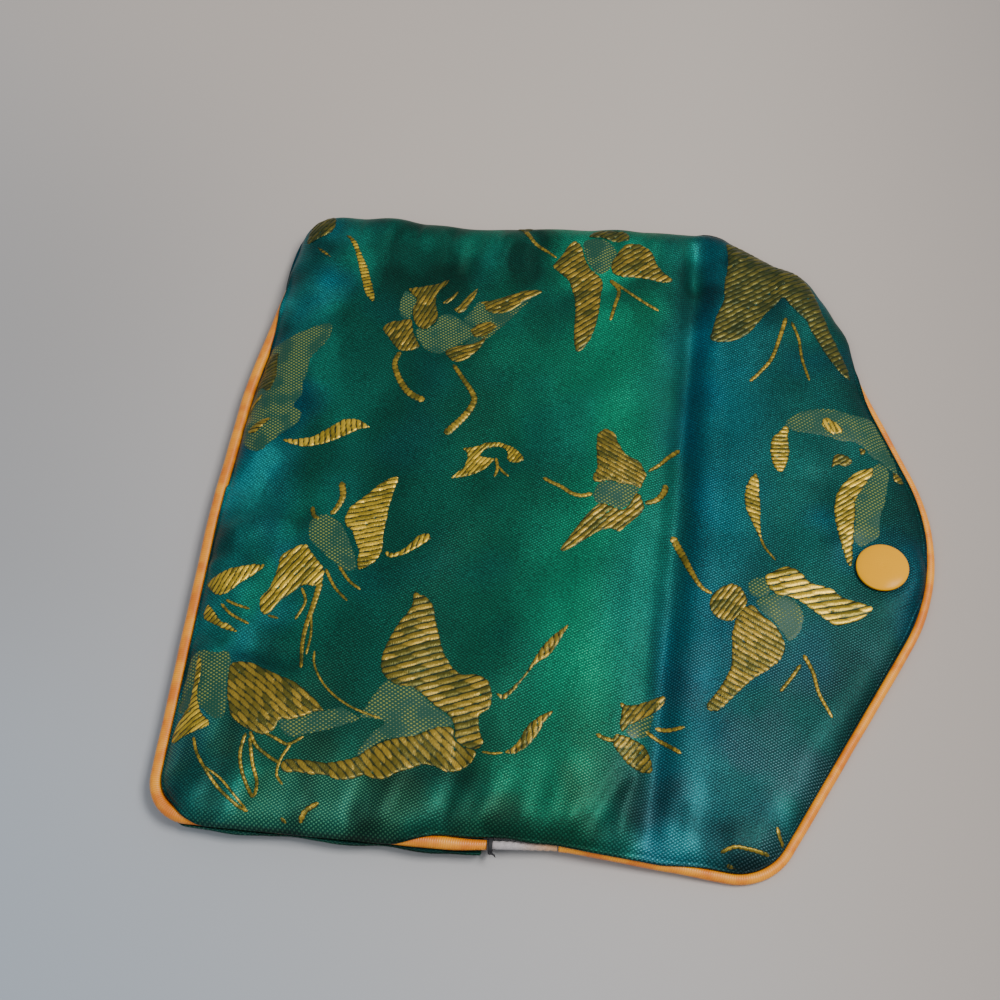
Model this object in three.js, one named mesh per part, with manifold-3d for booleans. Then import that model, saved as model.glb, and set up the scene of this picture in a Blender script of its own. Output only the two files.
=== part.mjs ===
// A Chinese silk brocade purse, lying back side up with its flap open.
// One padded panel makes the back and the flap, a shorter padded panel makes the pocket's front,
// piping runs round the back panel's edge, and a press stud closes the flap over the pocket.
// Units are millimetres, +Z is up. X runs from the bottom seam to the tip of the flap, and Y across the purse.
import * as THREE from 'three';
import Module from 'manifold-3d';
import { mergeVertices } from 'three/addons/utils/BufferGeometryUtils.js';

// Plan sizes
const purseWidth = 167; // between the side seams
const bodyLength = 111.5; // bottom seam to fold
const flapLength = 63.3; // fold to where the flap's slanting edges would meet
const pocketDepth = 75; // bottom seam to the mouth's edge
const bottomCornerRadius = 9;
const foldCornerRadius = 9;
const shoulderRadius = 26;
const flapCornerRadius = 12.5;
const tipRadius = 52;
const waistRadius = 60;
const bowRadius = 250;

// Heights and thicknesses
const bodyHeight = 10.8; // crown of the padded body above the table
const flapHeight = 7.6; // crown of the flap where it leaves the fold
const seamHeight = 4.3; // piping's centre above the table, along the body
const wall = 2.2; // padded panel
const edgeThickness = 1.1; // panel at its turned edge
const seamGap = 0.3; // between pieces that are sewn or pressed together
const rollWidth = 7.5; // the tight roll of a padded edge
const domeWidth = 50; // the slow dome behind it
const domeShare = 0.2; // how much of the rise the dome makes

// Piping
const pipingRadius = 1.45; // round the body
const flapPiping = 0.82; // share of that round the flap, where it's drawn tighter
const cordRadius = 0.9; // pale cord inside the piping's cover
const threadRadius = 0.35; // thread that ties off the pocket's mouth
const bareFrom = 0.684; // the cover is open between these shares of the body's length
const bareTo = 0.82;

// Press stud
const capRadius = 6;
const capHeight = 1.6;
const postRadius = 1.7;
const ringRadius = 5;
const ringThickness = 1;
const pressedWall = 1.5; // panel where the stud's halves clamp it
const studSetback = 11.4; // centre of the stud from the flap's tip
const studOffset = 4.5; // centre of the stud nearer than the flap's tip
const studDrop = 2.3; // how far the stud's ball stands below its flange
const socketDepth = 2.1;

const lerp = THREE.MathUtils.lerp;
const smooth = (value, from, to) => THREE.MathUtils.smoothstep(value, from, to);

// One coordinate along the purse: 0 at the bottom seam, 1 at the fold, 2 where the flap's edges would meet.
function lengthAt(along) {
  return along <= 1 ? along * bodyLength : bodyLength + (along - 1) * flapLength;
}
function alongAt(x) {
  return x <= bodyLength ? x / bodyLength : 1 + (x - bodyLength) / flapLength;
}

// The piping's centre line in plan, as a polygon with rounded corners.
const CORNERS = [
  { name: 'near_bottom', along: 0.022, across: 0.0, radius: bottomCornerRadius },
  { name: 'near_mouth', along: 0.64, across: 0.006, radius: waistRadius },
  { name: 'near_waist', along: 0.84, across: 0.02, radius: waistRadius },
  { name: 'near_flap', along: 1.385, across: 0.003, radius: flapCornerRadius },
  { name: 'tip', along: 2.0, across: 0.485, radius: tipRadius },
  { name: 'far_shoulder', along: 1.43, across: 0.943, radius: shoulderRadius },
  { name: 'far_fold', along: 1.03, across: 1.022, radius: foldCornerRadius },
  { name: 'far_dip', along: 0.45, across: 0.99, radius: bowRadius },
  { name: 'far_bottom', along: 0.07, across: 1.0, radius: bottomCornerRadius },
  { name: 'bottom_ease', along: 0.042, across: 0.69, radius: bowRadius },
  { name: 'bottom_bow', along: 0.0, across: 0.46, radius: bowRadius },
];

// Spacing of the grid from a panel's edge, in piping radii.
const EDGE_STEPS = [0, 0.55, 1.2, 1.9, 2.7, 4.0, 5.8];

// Height of the crown along the purse, as a share of bodyHeight for the body and of flapHeight for the flap.
const BODY_CROWN = [
  { along: 0.0, share: 0.86 },
  { along: 0.12, share: 0.97 },
  { along: 0.45, share: 1.0 },
  { along: 0.78, share: 0.98 },
  { along: 0.9, share: 0.88 },
  { along: 1.0, share: 0.7 },
];
const FLAP_CROWN = [
  { along: 1.0, share: 0.93 },
  { along: 1.07, share: 1.0 },
  { along: 1.3, share: 0.92 },
  { along: 1.65, share: 0.76 },
  { along: 1.95, share: 0.62 },
];

// How far the seam is lifted from the table, from 0, where the piping lies on it, to 1, at seamHeight.
const SEAM_LIFT = [
  { along: 0.0, share: 1.0 },
  { along: 0.62, share: 1.0 },
  { along: 0.86, share: 0.72 },
  { along: 1.05, share: 0.35 },
  { along: 1.3, share: 0.0 },
];

// Soft folds and dents of the back panel. A row runs from one point to another, given along and across;
// reach is half its width as a share of purseWidth, and lift its height as a share of bodyHeight, negative for a dent.
const FOLDS = [
  { name: 'fold_valley', from: [0.985, 0.04], to: [0.985, 0.97], reach: 0.022, lift: -0.13 },
  { name: 'fold_ridge', from: [1.09, 0.08], to: [1.04, 0.96], reach: 0.026, lift: 0.06 },
  { name: 'crest_before_fold', from: [0.86, 0.16], to: [0.86, 0.86], reach: 0.06, lift: 0.06 },
  { name: 'hollow_in_middle', from: [0.58, 0.12], to: [0.6, 0.72], reach: 0.07, lift: -0.07 },
  { name: 'bottom_dent_far', from: [0.02, 0.51], to: [0.2, 0.45], reach: 0.03, lift: -0.14 },
  { name: 'bottom_bulge', from: [0.03, 0.4], to: [0.1, 0.42], reach: 0.03, lift: 0.07 },
  { name: 'bottom_dent_near', from: [0.02, 0.27], to: [0.24, 0.22], reach: 0.026, lift: -0.13 },
  { name: 'stud_crease', from: [1.47, 0.61], to: [1.56, 0.49], reach: 0.011, lift: -0.09 },
  { name: 'waist_pucker', from: [0.87, 0.02], to: [0.93, 0.14], reach: 0.014, lift: -0.11 },
  { name: 'waist_pucker_fold', from: [1.06, 0.01], to: [1.07, 0.1], reach: 0.013, lift: -0.11 },
  { name: 'far_pucker', from: [0.47, 0.99], to: [0.46, 0.86], reach: 0.014, lift: -0.1 },
  { name: 'far_pucker_fold', from: [0.97, 1.0], to: [0.98, 0.88], reach: 0.014, lift: -0.1 },
];

// Value of a table's share at a place along the purse, eased between rows.
function tableAt(rows, along) {
  if (along <= rows[0].along) return rows[0].share;
  for (let i = 1; i < rows.length; i++) {
    const [before, after] = [rows[i - 1], rows[i]];
    if (along <= after.along) return lerp(before.share, after.share, smooth(along, before.along, after.along));
  }
  return rows[rows.length - 1].share;
}

// Samples the rounded polygon, and notes where each corner's arc starts, is halfway and ends.
function roundedPolygon(corners, arcStep, lineStep) {
  const vertices = corners.map((c) => new THREE.Vector2(lengthAt(c.along), c.across * purseWidth));
  const points = [];
  const marks = {};
  corners.forEach((corner, i) => {
    const here = vertices[i];
    const back = vertices[(i + corners.length - 1) % corners.length].clone().sub(here).normalize();
    const ahead = vertices[(i + 1) % corners.length].clone().sub(here).normalize();
    const half = Math.acos(THREE.MathUtils.clamp(back.dot(ahead), -1, 1)) / 2;
    const tangent = corner.radius / Math.tan(half);
    const centre = back.clone().add(ahead).normalize().multiplyScalar(corner.radius / Math.sin(half)).add(here);
    const start = here.clone().addScaledVector(back, tangent);
    const from = start.clone().sub(centre).angle();
    const bend = here.clone().sub(start).cross(centre.clone().sub(start)) > 0 ? 1 : -1;
    const turn = bend * (Math.PI - 2 * half);
    if (points.length) pushLine(points, points[points.length - 1], start, lineStep);
    const steps = 2 * Math.max(1, Math.round((Math.abs(turn) * corner.radius) / arcStep / 2));
    marks[corner.name] = { first: points.length, middle: points.length + steps / 2, last: points.length + steps };
    for (let k = 0; k <= steps; k++) {
      const angle = from + (turn * k) / steps;
      points.push(new THREE.Vector2(Math.cos(angle), Math.sin(angle)).multiplyScalar(corner.radius).add(centre));
    }
  });
  pushLine(points, points[points.length - 1], points[0], lineStep);
  return { points, marks };
}

// Points between two ends of a straight stretch, without the ends.
function pushLine(points, from, to, step) {
  const count = Math.max(1, Math.round(from.distanceTo(to) / step));
  for (let k = 1; k < count; k++) points.push(from.clone().lerp(to, k / count));
}

const seam = roundedPolygon(CORNERS, 3.2, 6);
const seamCount = seam.points.length;
const seamOut = seam.points.map((p, i) => {
  const before = seam.points[(i + seamCount - 1) % seamCount];
  const after = seam.points[(i + 1) % seamCount];
  const direction = after.clone().sub(before).normalize();
  return new THREE.Vector2(direction.y, -direction.x); // the outline runs anticlockwise
});

// Distance of a plan point from the seam line, positive inside it.
function insideBy(point) {
  let best = Infinity;
  let sign = 1;
  for (let i = 0; i < seamCount; i++) {
    const a = seam.points[i];
    const edge = seam.points[(i + 1) % seamCount].clone().sub(a);
    const offset = point.clone().sub(a);
    const t = THREE.MathUtils.clamp(offset.dot(edge) / edge.lengthSq(), 0, 1);
    const away = offset.clone().addScaledVector(edge, -t).length();
    if (away < best) {
      best = away;
      sign = edge.cross(offset) >= 0 ? 1 : -1;
    }
  }
  return sign * best;
}

// Lips: how far a panel's edge reaches out over the piping, 1 for all the way over and -1 for inside it.
const BACK_NEAR_LIP = [
  { along: 0.05, share: -1 },
  { along: 0.13, share: 1 },
  { along: 0.5, share: 1 },
  { along: 0.62, share: -1 },
  { along: 0.66, share: -1.35 },
  { along: 0.71, share: -1.35 },
  { along: 0.78, share: -0.7 },
  { along: 0.86, share: -0.4 },
  { along: 0.98, share: -0.2 },
  { along: 1.16, share: -1 },
];
const FRONT_NEAR_LIP = [
  { along: 0.04, share: -1 },
  { along: 0.1, share: 1 },
  { along: 0.66, share: 0.5 },
];

// Where the far edge rolls out over the piping: it stays inside it nearer than these shares of the width.
const FAR_LIP = [
  { along: 0.0, share: 0.9 },
  { along: 1.0, share: 0.9 },
  { along: 1.7, share: 0.79 },
];
const clearOfPiping = pipingRadius + seamGap;

function lipAt(nearLip, point) {
  const along = alongAt(point.x);
  const across = point.y / purseWidth;
  const turn = tableAt(FAR_LIP, along);
  const far = lerp(-1.12, 0.9, smooth(across, turn - 0.07, turn + 0.07));
  return clearOfPiping * (across < 0.5 ? tableAt(nearLip, along) : far);
}

function pipingRadiusAt(along) {
  return pipingRadius * lerp(1, flapPiping, smooth(along, 0.8, 1.15));
}

// Height of the piping's centre.
function seamAt(along) {
  return lerp(pipingRadius * flapPiping, seamHeight, tableAt(SEAM_LIFT, along));
}

// A padded edge's rise from 0 at the edge to 1 at the crown: a tight roll, then a slow dome.
function rise(fromEdge) {
  const roll = Math.min(1, Math.max(0, fromEdge / rollWidth));
  const dome = Math.min(1, Math.max(0, fromEdge / domeWidth));
  return lerp(Math.sqrt(roll * (2 - roll)), Math.sqrt(dome * (2 - dome)), domeShare);
}

// Height above the piping's centre that keeps a panel clear of it: a circle outside, a tent inside.
function overPiping(inside) {
  const radius = clearOfPiping + seamGap;
  if (inside < 0) return Math.sqrt(Math.max(0, radius ** 2 - inside ** 2));
  return Math.max(0, radius * (1 - inside / (3 * radius)));
}

// A panel's height off the seam's height: sewn close where its edge stays inside the piping.
function seatOff(lips, point, inside, base) {
  const reach = lipAt(lips, point) / clearOfPiping;
  return lerp(base, Math.max(base, overPiping(inside)), smooth(reach, -1.04, -0.92));
}

function crownAt(along) {
  const body = bodyHeight * tableAt(BODY_CROWN, along);
  const flap = flapHeight * tableAt(FLAP_CROWN, along);
  return lerp(body, flap, smooth(along, 0.94, 1.06));
}

// Sum of the folds at a plan point.
function foldsAt(point) {
  let sum = 0;
  for (const fold of FOLDS) {
    const a = new THREE.Vector2(lengthAt(fold.from[0]), fold.from[1] * purseWidth);
    const b = new THREE.Vector2(lengthAt(fold.to[0]), fold.to[1] * purseWidth);
    const run = b.sub(a);
    const offset = point.clone().sub(a);
    const t = THREE.MathUtils.clamp(offset.dot(run) / run.lengthSq(), 0, 1);
    const away = offset.addScaledVector(run, -t).length() / (fold.reach * purseWidth);
    if (away < 1) sum += fold.lift * bodyHeight * (1 - away * away) ** 2;
  }
  return sum;
}

// Where the press stud's two halves sit in plan.
const tipReach = Math.max(...seam.points.map((p) => p.x));
const studCentre = new THREE.Vector2(tipReach - studSetback, CORNERS[4].across * purseWidth - studOffset);
const socketCentre = new THREE.Vector2(2 * bodyLength - studCentre.x, studCentre.y);
const studSeat = studDrop + ringThickness + 2 * seamGap + pressedWall;

// 1 on the flat that a stud's half presses, 0 beyond its surround.
function pressedAt(point, centre) {
  return 1 - smooth(point.distanceTo(centre), capRadius * 1.1, capRadius * 2.1);
}

// The back panel's underside near its edge.
function backSeat(point, inside) {
  const along = alongAt(point.x);
  const open = smooth(along, 0.7, 1);
  const base = lerp(seamGap / 2, -edgeThickness / 2, open);
  return seamAt(along) + seatOff(BACK_NEAR_LIP, point, inside, base);
}

function backTop(point, inside) {
  const along = alongAt(point.x);
  const rim = seamAt(along) + edgeThickness / 2;
  const dome = rise(inside + lipAt(BACK_NEAR_LIP, point));
  const fade = smooth(inside, -clearOfPiping, rollWidth);
  const free = rim + (crownAt(along) - rim) * dome + foldsAt(point) * fade;
  const top = lerp(free, studSeat, pressedAt(point, studCentre));
  return Math.max(top, backSeat(point, inside) + edgeThickness);
}

function backUnder(point, inside) {
  const thickness = lerp(wall, pressedWall, pressedAt(point, studCentre));
  const hanging = backTop(point, inside) - thickness;
  return lerp(backSeat(point, inside), hanging, smooth(inside, clearOfPiping + 1.5, rollWidth + 2));
}

// The front panel lies under the back one, its outer face down on the table.
function frontOuter(point, inside) {
  const along = alongAt(point.x);
  const rim = seamAt(along) - edgeThickness * 1.3;
  const roll = Math.min(1, Math.max(0, (inside + lipAt(FRONT_NEAR_LIP, point)) / rollWidth));
  const free = rim * (1 - Math.sqrt(roll * (2 - roll)));
  const outer = lerp(free, socketDepth + seamGap, pressedAt(point, socketCentre));
  return Math.min(outer, frontSeat(point, inside) - edgeThickness);
}

function frontSeat(point, inside) {
  return seamAt(alongAt(point.x)) - seatOff(FRONT_NEAR_LIP, point, inside, seamGap / 2);
}

function frontInner(point, inside) {
  const thickness = lerp(wall, pressedWall, pressedAt(point, socketCentre));
  const lying = frontOuter(point, inside) + thickness;
  return lerp(frontSeat(point, inside), lying, smooth(inside, clearOfPiping + 1.5, rollWidth + 2));
}

// A point on a polyline where a measure of it, which only grows, reaches a value.
function pointAt(points, measure, value) {
  let i = 1;
  while (i < points.length - 1 && measure[i] < value) i++;
  const share = (value - measure[i - 1]) / Math.max(1e-6, measure[i] - measure[i - 1]);
  return points[i - 1].clone().lerp(points[i], THREE.MathUtils.clamp(share, 0, 1));
}

function lengthsOf(points) {
  const lengths = [0];
  for (let i = 1; i < points.length; i++) lengths.push(lengths[i - 1] + points[i].distanceTo(points[i - 1]));
  return lengths;
}

// Stations from 0 to a length: close together at both ends, and no wider than stepAt elsewhere.
function stations(length, stepAt, fineEnd) {
  const from = EDGE_STEPS.map((step) => step * pipingRadius);
  const to = fineEnd ? from.map((d) => length - d).reverse() : [length];
  const result = [...from];
  const target = to[0];
  while (result[result.length - 1] < target - stepAt(result[result.length - 1]) * 0.6) {
    const here = result[result.length - 1];
    result.push(here + stepAt(here));
  }
  const overshoot = result[result.length - 1] - target;
  const first = from.length - 1;
  const span = result[result.length - 1] - result[first];
  for (let i = first + 1; i < result.length; i++) {
    result[i] -= (overshoot * (result[i] - result[first])) / span;
  }
  return [...result, ...to.slice(1)].map((d) => d / length);
}

// A panel's plan as a grid of points between four sides, with the edge carried out by its lips.
function panelGrid(lips, end, fineEnd, stepAlong, stepAcross) {
  const edge = seam.points.map((p, i) => p.clone().addScaledVector(seamOut[i], lipAt(lips, p)));
  const { near_bottom: nearBottom, far_bottom: farBottom } = seam.marks;
  const near = end.near(edge, nearBottom.middle);
  const far = end.far(edge, farBottom.middle);
  const bottom = [...edge.slice(farBottom.middle), ...edge.slice(0, nearBottom.middle + 1)].reverse();
  const last = end.last(edge, near[near.length - 1], far[far.length - 1]);
  const [bottomLengths, lastLengths] = [lengthsOf(bottom), lengthsOf(last)];
  const byX = (points, share) => {
    const xs = points.map((p) => p.x);
    return pointAt(points, xs, lerp(xs[0], xs[xs.length - 1], share));
  };
  const byLength = (points, lengths, share) => pointAt(points, lengths, share * lengths[lengths.length - 1]);
  const us = stations(near[near.length - 1].x - near[0].x, stepAlong, fineEnd);
  const vs = stations(purseWidth, stepAcross, true);
  return us.map((u) => {
    const [n, f] = [byX(near, u), byX(far, u)];
    return vs.map((v) => {
      const b = byLength(bottom, bottomLengths, v);
      const l = byLength(last, lastLengths, v);
      const sides = n.clone().lerp(f, v).add(b.clone().lerp(l, u));
      const corners = near[0].clone().lerp(far[0], v).lerp(last[0].clone().lerp(last[last.length - 1], v), u);
      return sides.sub(corners);
    });
  });
}

// A closed panel between an upper and a lower height over the same plan grid.
function panelGeometry(grid, upper, lower) {
  const [rows, columns] = [grid.length, grid[0].length];
  const positions = [];
  for (const height of [upper, lower]) {
    for (const row of grid) {
      for (const p of row) positions.push(p.x, p.y, height(p, insideBy(p)));
    }
  }
  const faces = [];
  const quad = (a, b, c, d) => faces.push(a, b, c, a, c, d);
  const at = (i, j, layer) => layer * rows * columns + i * columns + j;
  for (let i = 0; i < rows - 1; i++) {
    for (let j = 0; j < columns - 1; j++) {
      quad(at(i, j, 0), at(i + 1, j, 0), at(i + 1, j + 1, 0), at(i, j + 1, 0));
      quad(at(i, j, 1), at(i, j + 1, 1), at(i + 1, j + 1, 1), at(i + 1, j, 1));
    }
    quad(at(i, 0, 1), at(i + 1, 0, 1), at(i + 1, 0, 0), at(i, 0, 0));
    quad(at(i + 1, columns - 1, 1), at(i, columns - 1, 1), at(i, columns - 1, 0), at(i + 1, columns - 1, 0));
  }
  for (let j = 0; j < columns - 1; j++) {
    quad(at(0, j + 1, 1), at(0, j, 1), at(0, j, 0), at(0, j + 1, 0));
    quad(at(rows - 1, j, 1), at(rows - 1, j + 1, 1), at(rows - 1, j + 1, 0), at(rows - 1, j, 0));
  }
  const geometry = new THREE.BufferGeometry();
  geometry.setAttribute('position', new THREE.Float32BufferAttribute(positions, 3));
  geometry.setIndex(faces);
  return geometry;
}

const backGrid = panelGrid(
  BACK_NEAR_LIP,
  {
    near: (edge, start) => edge.slice(start, seam.marks.tip.first + 1),
    far: (edge, start) => edge.slice(seam.marks.tip.last, start + 1).reverse(),
    last: (edge) => edge.slice(seam.marks.tip.first, seam.marks.tip.last + 1),
  },
  true,
  (x) => {
    const along = alongAt(x);
    if (Math.abs(along - 1.01) < 0.09) return 2.8;
    return along > 1.2 ? 3.5 : 7.2;
  },
  () => 7.8
);

// The pocket's front ends at its mouth.
const beforeMouth = (points) => {
  const kept = points.filter((p) => p.x < pocketDepth - 0.5);
  const next = points[kept.length];
  const last = kept[kept.length - 1];
  return [...kept, last.clone().lerp(next, (pocketDepth - last.x) / (next.x - last.x))];
};
const frontGrid = panelGrid(
  FRONT_NEAR_LIP,
  {
    near: (edge, start) => beforeMouth(edge.slice(start, seam.marks.near_flap.first)),
    far: (edge, start) => beforeMouth(edge.slice(seam.marks.far_fold.last, start + 1).reverse()),
    last: (edge, near, far) => [near, far],
  },
  false,
  () => 7,
  () => 7.5
);

const kernel = await Module();
kernel.setup();

function toManifold(geometry) {
  const bare = new THREE.BufferGeometry();
  bare.setAttribute('position', geometry.getAttribute('position').clone());
  if (geometry.index) bare.setIndex(geometry.index.clone());
  const welded = mergeVertices(bare, 1e-4);
  return new kernel.Manifold(
    new kernel.Mesh({
      numProp: 3,
      vertProperties: Float32Array.from(welded.getAttribute('position').array),
      triVerts: Uint32Array.from(welded.index.array),
    })
  );
}

function fromManifold(solid) {
  const mesh = solid.getMesh();
  const geometry = new THREE.BufferGeometry();
  geometry.setAttribute('position', new THREE.BufferAttribute(Float32Array.from(mesh.vertProperties), 3));
  geometry.setIndex(new THREE.BufferAttribute(Uint32Array.from(mesh.triVerts), 1));
  return geometry;
}

// A turned piece about a vertical axis; the profile runs up the outside from the axis and back to it.
function turned(profile, centre, sides) {
  const points = profile.map(([radius, height]) => new THREE.Vector2(radius, height));
  const geometry = new THREE.LatheGeometry(points, sides);
  geometry.rotateX(Math.PI / 2);
  geometry.translate(centre.x, centre.y, 0);
  return geometry;
}

// A panel pressed flat between two discs, with a hole for the post that joins them.
function pressed(geometry, centre, top, upperRadius, lowerRadius) {
  const under = top - pressedWall;
  const hole = postRadius + seamGap;
  const tool = [
    [0, -bodyHeight],
    [lowerRadius + seamGap, -bodyHeight],
    [lowerRadius + seamGap, under],
    [hole, under],
    [hole, top],
    [upperRadius + seamGap, top],
    [upperRadius + seamGap, 2 * bodyHeight],
    [0, 2 * bodyHeight],
  ];
  return fromManifold(toManifold(geometry).subtract(toManifold(turned(tool, centre, 24))));
}

// A round cord swept along points, with flat ends.
function cord(path, radiusAt, sides) {
  const positions = [];
  const faces = [];
  path.forEach((p, i) => {
    const before = path[Math.max(0, i - 1)];
    const after = path[Math.min(path.length - 1, i + 1)];
    const side = new THREE.Vector3(after.y - before.y, before.x - after.x, 0).normalize();
    const radius = radiusAt(alongAt(p.x));
    for (let k = 0; k < sides; k++) {
      const angle = (2 * Math.PI * k) / sides;
      const rim = side.clone().multiplyScalar(Math.cos(angle) * radius).add(p);
      positions.push(rim.x, rim.y, rim.z + Math.sin(angle) * radius);
    }
  });
  for (let i = 0; i < path.length - 1; i++) {
    for (let k = 0; k < sides; k++) {
      const [a, b] = [i * sides + k, i * sides + ((k + 1) % sides)];
      faces.push(a, a + sides, b, b, a + sides, b + sides);
    }
  }
  for (let k = 1; k < sides - 1; k++) {
    const last = (path.length - 1) * sides;
    faces.push(0, k, k + 1, last, last + k + 1, last + k);
  }
  const geometry = new THREE.BufferGeometry();
  geometry.setAttribute('position', new THREE.Float32BufferAttribute(positions, 3));
  geometry.setIndex(faces);
  return geometry;
}

// Pieces
const seamPoint = (p) => new THREE.Vector3(p.x, p.y, seamAt(alongAt(p.x)));

// The near edge's stretch of seam between two shares of the body's length.
function nearStretch(from, to) {
  const start = seam.marks.near_bottom.last;
  const end = seam.marks.near_flap.first;
  const run = seam.points.slice(start, end + 1);
  const xs = run.map((p) => p.x);
  const inner = run.filter((p) => p.x > lengthAt(from) + 0.5 && p.x < lengthAt(to) - 0.5);
  return [pointAt(run, xs, lengthAt(from)), ...inner, pointAt(run, xs, lengthAt(to))];
}

// The cover runs from the bare stretch's far end round by the tip and the bottom to its near end.
const coverPath = [
  ...nearStretch(bareTo, 1.12),
  ...seam.points.filter((p, i) => i > seam.marks.near_bottom.last && p.x > lengthAt(1.12) + 0.5),
  ...seam.points.filter((p, i) => i > seam.marks.tip.last && p.x <= lengthAt(1.12) + 0.5),
  ...seam.points.slice(0, seam.marks.near_bottom.last + 1),
  ...nearStretch(0.2, bareFrom),
].map(seamPoint);
const coverEnd = coverPath[coverPath.length - 1];
const gapShare = seamGap / bodyLength;
const corePath = nearStretch(bareFrom + gapShare, bareTo - gapShare).map(seamPoint);

// Black thread wound round the cord, where the pocket's mouth ends.
const tack = new THREE.TorusGeometry(cordRadius + 1.4 * seamGap + threadRadius, threadRadius, 8, 16);
tack.rotateY(Math.PI / 2);
tack.translate(coverEnd.x + 1.6 * seamGap + threadRadius, coverEnd.y, coverEnd.z);

const capBase = studSeat + seamGap;
const capEdge = 0.35 * capHeight;
const capDome = [1, 0.97, 0.88, 0.7, 0.4, 0].map((share) => [
  capRadius * share,
  capBase + capEdge + (capHeight - capEdge) * Math.sqrt(1 - share * share),
]);
const capPost = [
  [0, studSeat - pressedWall],
  [postRadius, studSeat - pressedWall],
  [postRadius, capBase],
  [capRadius * 0.94, capBase],
  [capRadius, capBase + 0.4 * capEdge],
];

const flangeTop = studSeat - pressedWall - seamGap;
const flangeUnder = flangeTop - ringThickness;
const ballRadius = 2;
const studProfile = [
  [0, flangeUnder - studDrop],
  [ballRadius * 0.8, flangeUnder - studDrop],
  [ballRadius, flangeUnder - 0.75 * studDrop],
  [ballRadius * 0.8, flangeUnder],
  [ringRadius * 0.94, flangeUnder],
  [ringRadius, flangeUnder + 0.4 * ringThickness],
  [ringRadius * 0.94, flangeTop],
  [0, flangeTop],
];

// The socket's opening faces the table.
const socketMouth = ballRadius + seamGap;
const socketProfile = [
  [0, socketDepth - 0.5],
  [socketMouth, socketDepth - 0.5],
  [socketMouth, 0.5],
  [socketMouth + 0.4, seamGap / 2],
  [ringRadius * 0.9, seamGap / 2],
  [ringRadius, 0.6],
  [ringRadius, socketDepth - 0.2],
  [ringRadius * 0.94, socketDepth],
  [0, socketDepth],
];
const socketSeat = socketDepth + seamGap + pressedWall;
const socketCapBase = socketSeat + seamGap;
const socketCapProfile = [
  [0, socketDepth + seamGap],
  [postRadius, socketDepth + seamGap],
  [postRadius, socketCapBase],
  [ringRadius * 0.96, socketCapBase],
  [ringRadius, socketCapBase + 0.4 * ringThickness],
  [ringRadius * 0.9, socketCapBase + ringThickness],
  [0, socketCapBase + ringThickness],
];

const backSheet = panelGeometry(backGrid, backTop, backUnder);
const frontSheet = panelGeometry(frontGrid, frontInner, frontOuter);

const NODES = [
  {
    name: 'back_panel',
    geometry: pressed(backSheet, studCentre, studSeat, capRadius, ringRadius),
    color: 0x1f6f78,
    roughness: 0.55,
  },
  {
    name: 'front_panel',
    geometry: pressed(frontSheet, socketCentre, socketSeat, ringRadius, ringRadius),
    color: 0x1b6068,
    roughness: 0.6,
  },
  { name: 'piping', geometry: cord(coverPath, pipingRadiusAt, 8), color: 0xc97a2a, roughness: 0.45 },
  { name: 'piping_core', geometry: cord(corePath, () => cordRadius, 8), color: 0xb9a9b4, roughness: 0.8 },
  { name: 'mouth_tack', geometry: tack, color: 0x17181c, roughness: 0.8 },
  { name: 'snap_cap', geometry: turned([...capPost, ...capDome], studCentre, 24), color: 0xe8ae1c, roughness: 0.25 },
  { name: 'snap_stud', geometry: turned(studProfile, studCentre, 24), color: 0xe8ae1c, roughness: 0.3 },
  { name: 'snap_socket', geometry: turned(socketProfile, socketCentre, 24), color: 0xe8ae1c, roughness: 0.3 },
  { name: 'socket_cap', geometry: turned(socketCapProfile, socketCentre, 24), color: 0xe8ae1c, roughness: 0.3 },
];

const group = new THREE.Group();
group.name = 'chinese_embroidered_purse';
const bounds = new THREE.Box3();
for (const node of NODES) {
  const material = new THREE.MeshStandardMaterial({ color: node.color, roughness: node.roughness });
  material.name = node.name;
  const mesh = new THREE.Mesh(node.geometry, material);
  mesh.name = node.name;
  bounds.expandByObject(mesh);
  group.add(mesh);
}

// The origin is under the middle of the whole, on the table.
const middle = bounds.getCenter(new THREE.Vector3());
for (const mesh of group.children) mesh.geometry.translate(-middle.x, -middle.y, -bounds.min.z);

export default group;
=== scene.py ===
"""A Chinese silk brocade purse, lying back side up with its flap open, dressed over its CAD frame.

The cloth follows the named sizes of the solids, but for a fuller bottom seam and a freer rolled edge.
Lengths are millimetres in the purse's own plan: X runs from the bottom seam to the flap's tip and Y across
the purse. metres() takes plan points to the frame.
"""
import math

import bpy
import numpy as np
from mathutils import Matrix, Vector


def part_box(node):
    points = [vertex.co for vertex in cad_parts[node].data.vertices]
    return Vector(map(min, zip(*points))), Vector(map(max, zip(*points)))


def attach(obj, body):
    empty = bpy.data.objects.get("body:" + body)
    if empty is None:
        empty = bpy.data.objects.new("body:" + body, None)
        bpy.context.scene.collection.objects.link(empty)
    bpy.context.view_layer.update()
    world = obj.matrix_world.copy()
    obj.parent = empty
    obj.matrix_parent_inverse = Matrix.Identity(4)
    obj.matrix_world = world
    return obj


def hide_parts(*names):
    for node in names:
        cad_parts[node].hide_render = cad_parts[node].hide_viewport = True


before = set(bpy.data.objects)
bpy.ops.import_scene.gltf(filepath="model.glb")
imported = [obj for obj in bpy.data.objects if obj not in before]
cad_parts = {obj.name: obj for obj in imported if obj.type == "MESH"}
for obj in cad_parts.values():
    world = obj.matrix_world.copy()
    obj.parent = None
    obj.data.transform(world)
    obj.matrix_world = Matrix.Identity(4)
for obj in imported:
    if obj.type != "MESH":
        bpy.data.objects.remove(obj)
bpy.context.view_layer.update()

# Sizes of the solids, in millimetres
PURSE_WIDTH = 167.0
BODY_LENGTH = 111.5
FLAP_LENGTH = 63.3
POCKET_DEPTH = 75.0
BODY_HEIGHT = 10.8
FLAP_HEIGHT = 7.6
SEAM_HEIGHT = 4.3
WALL = 2.2
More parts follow.
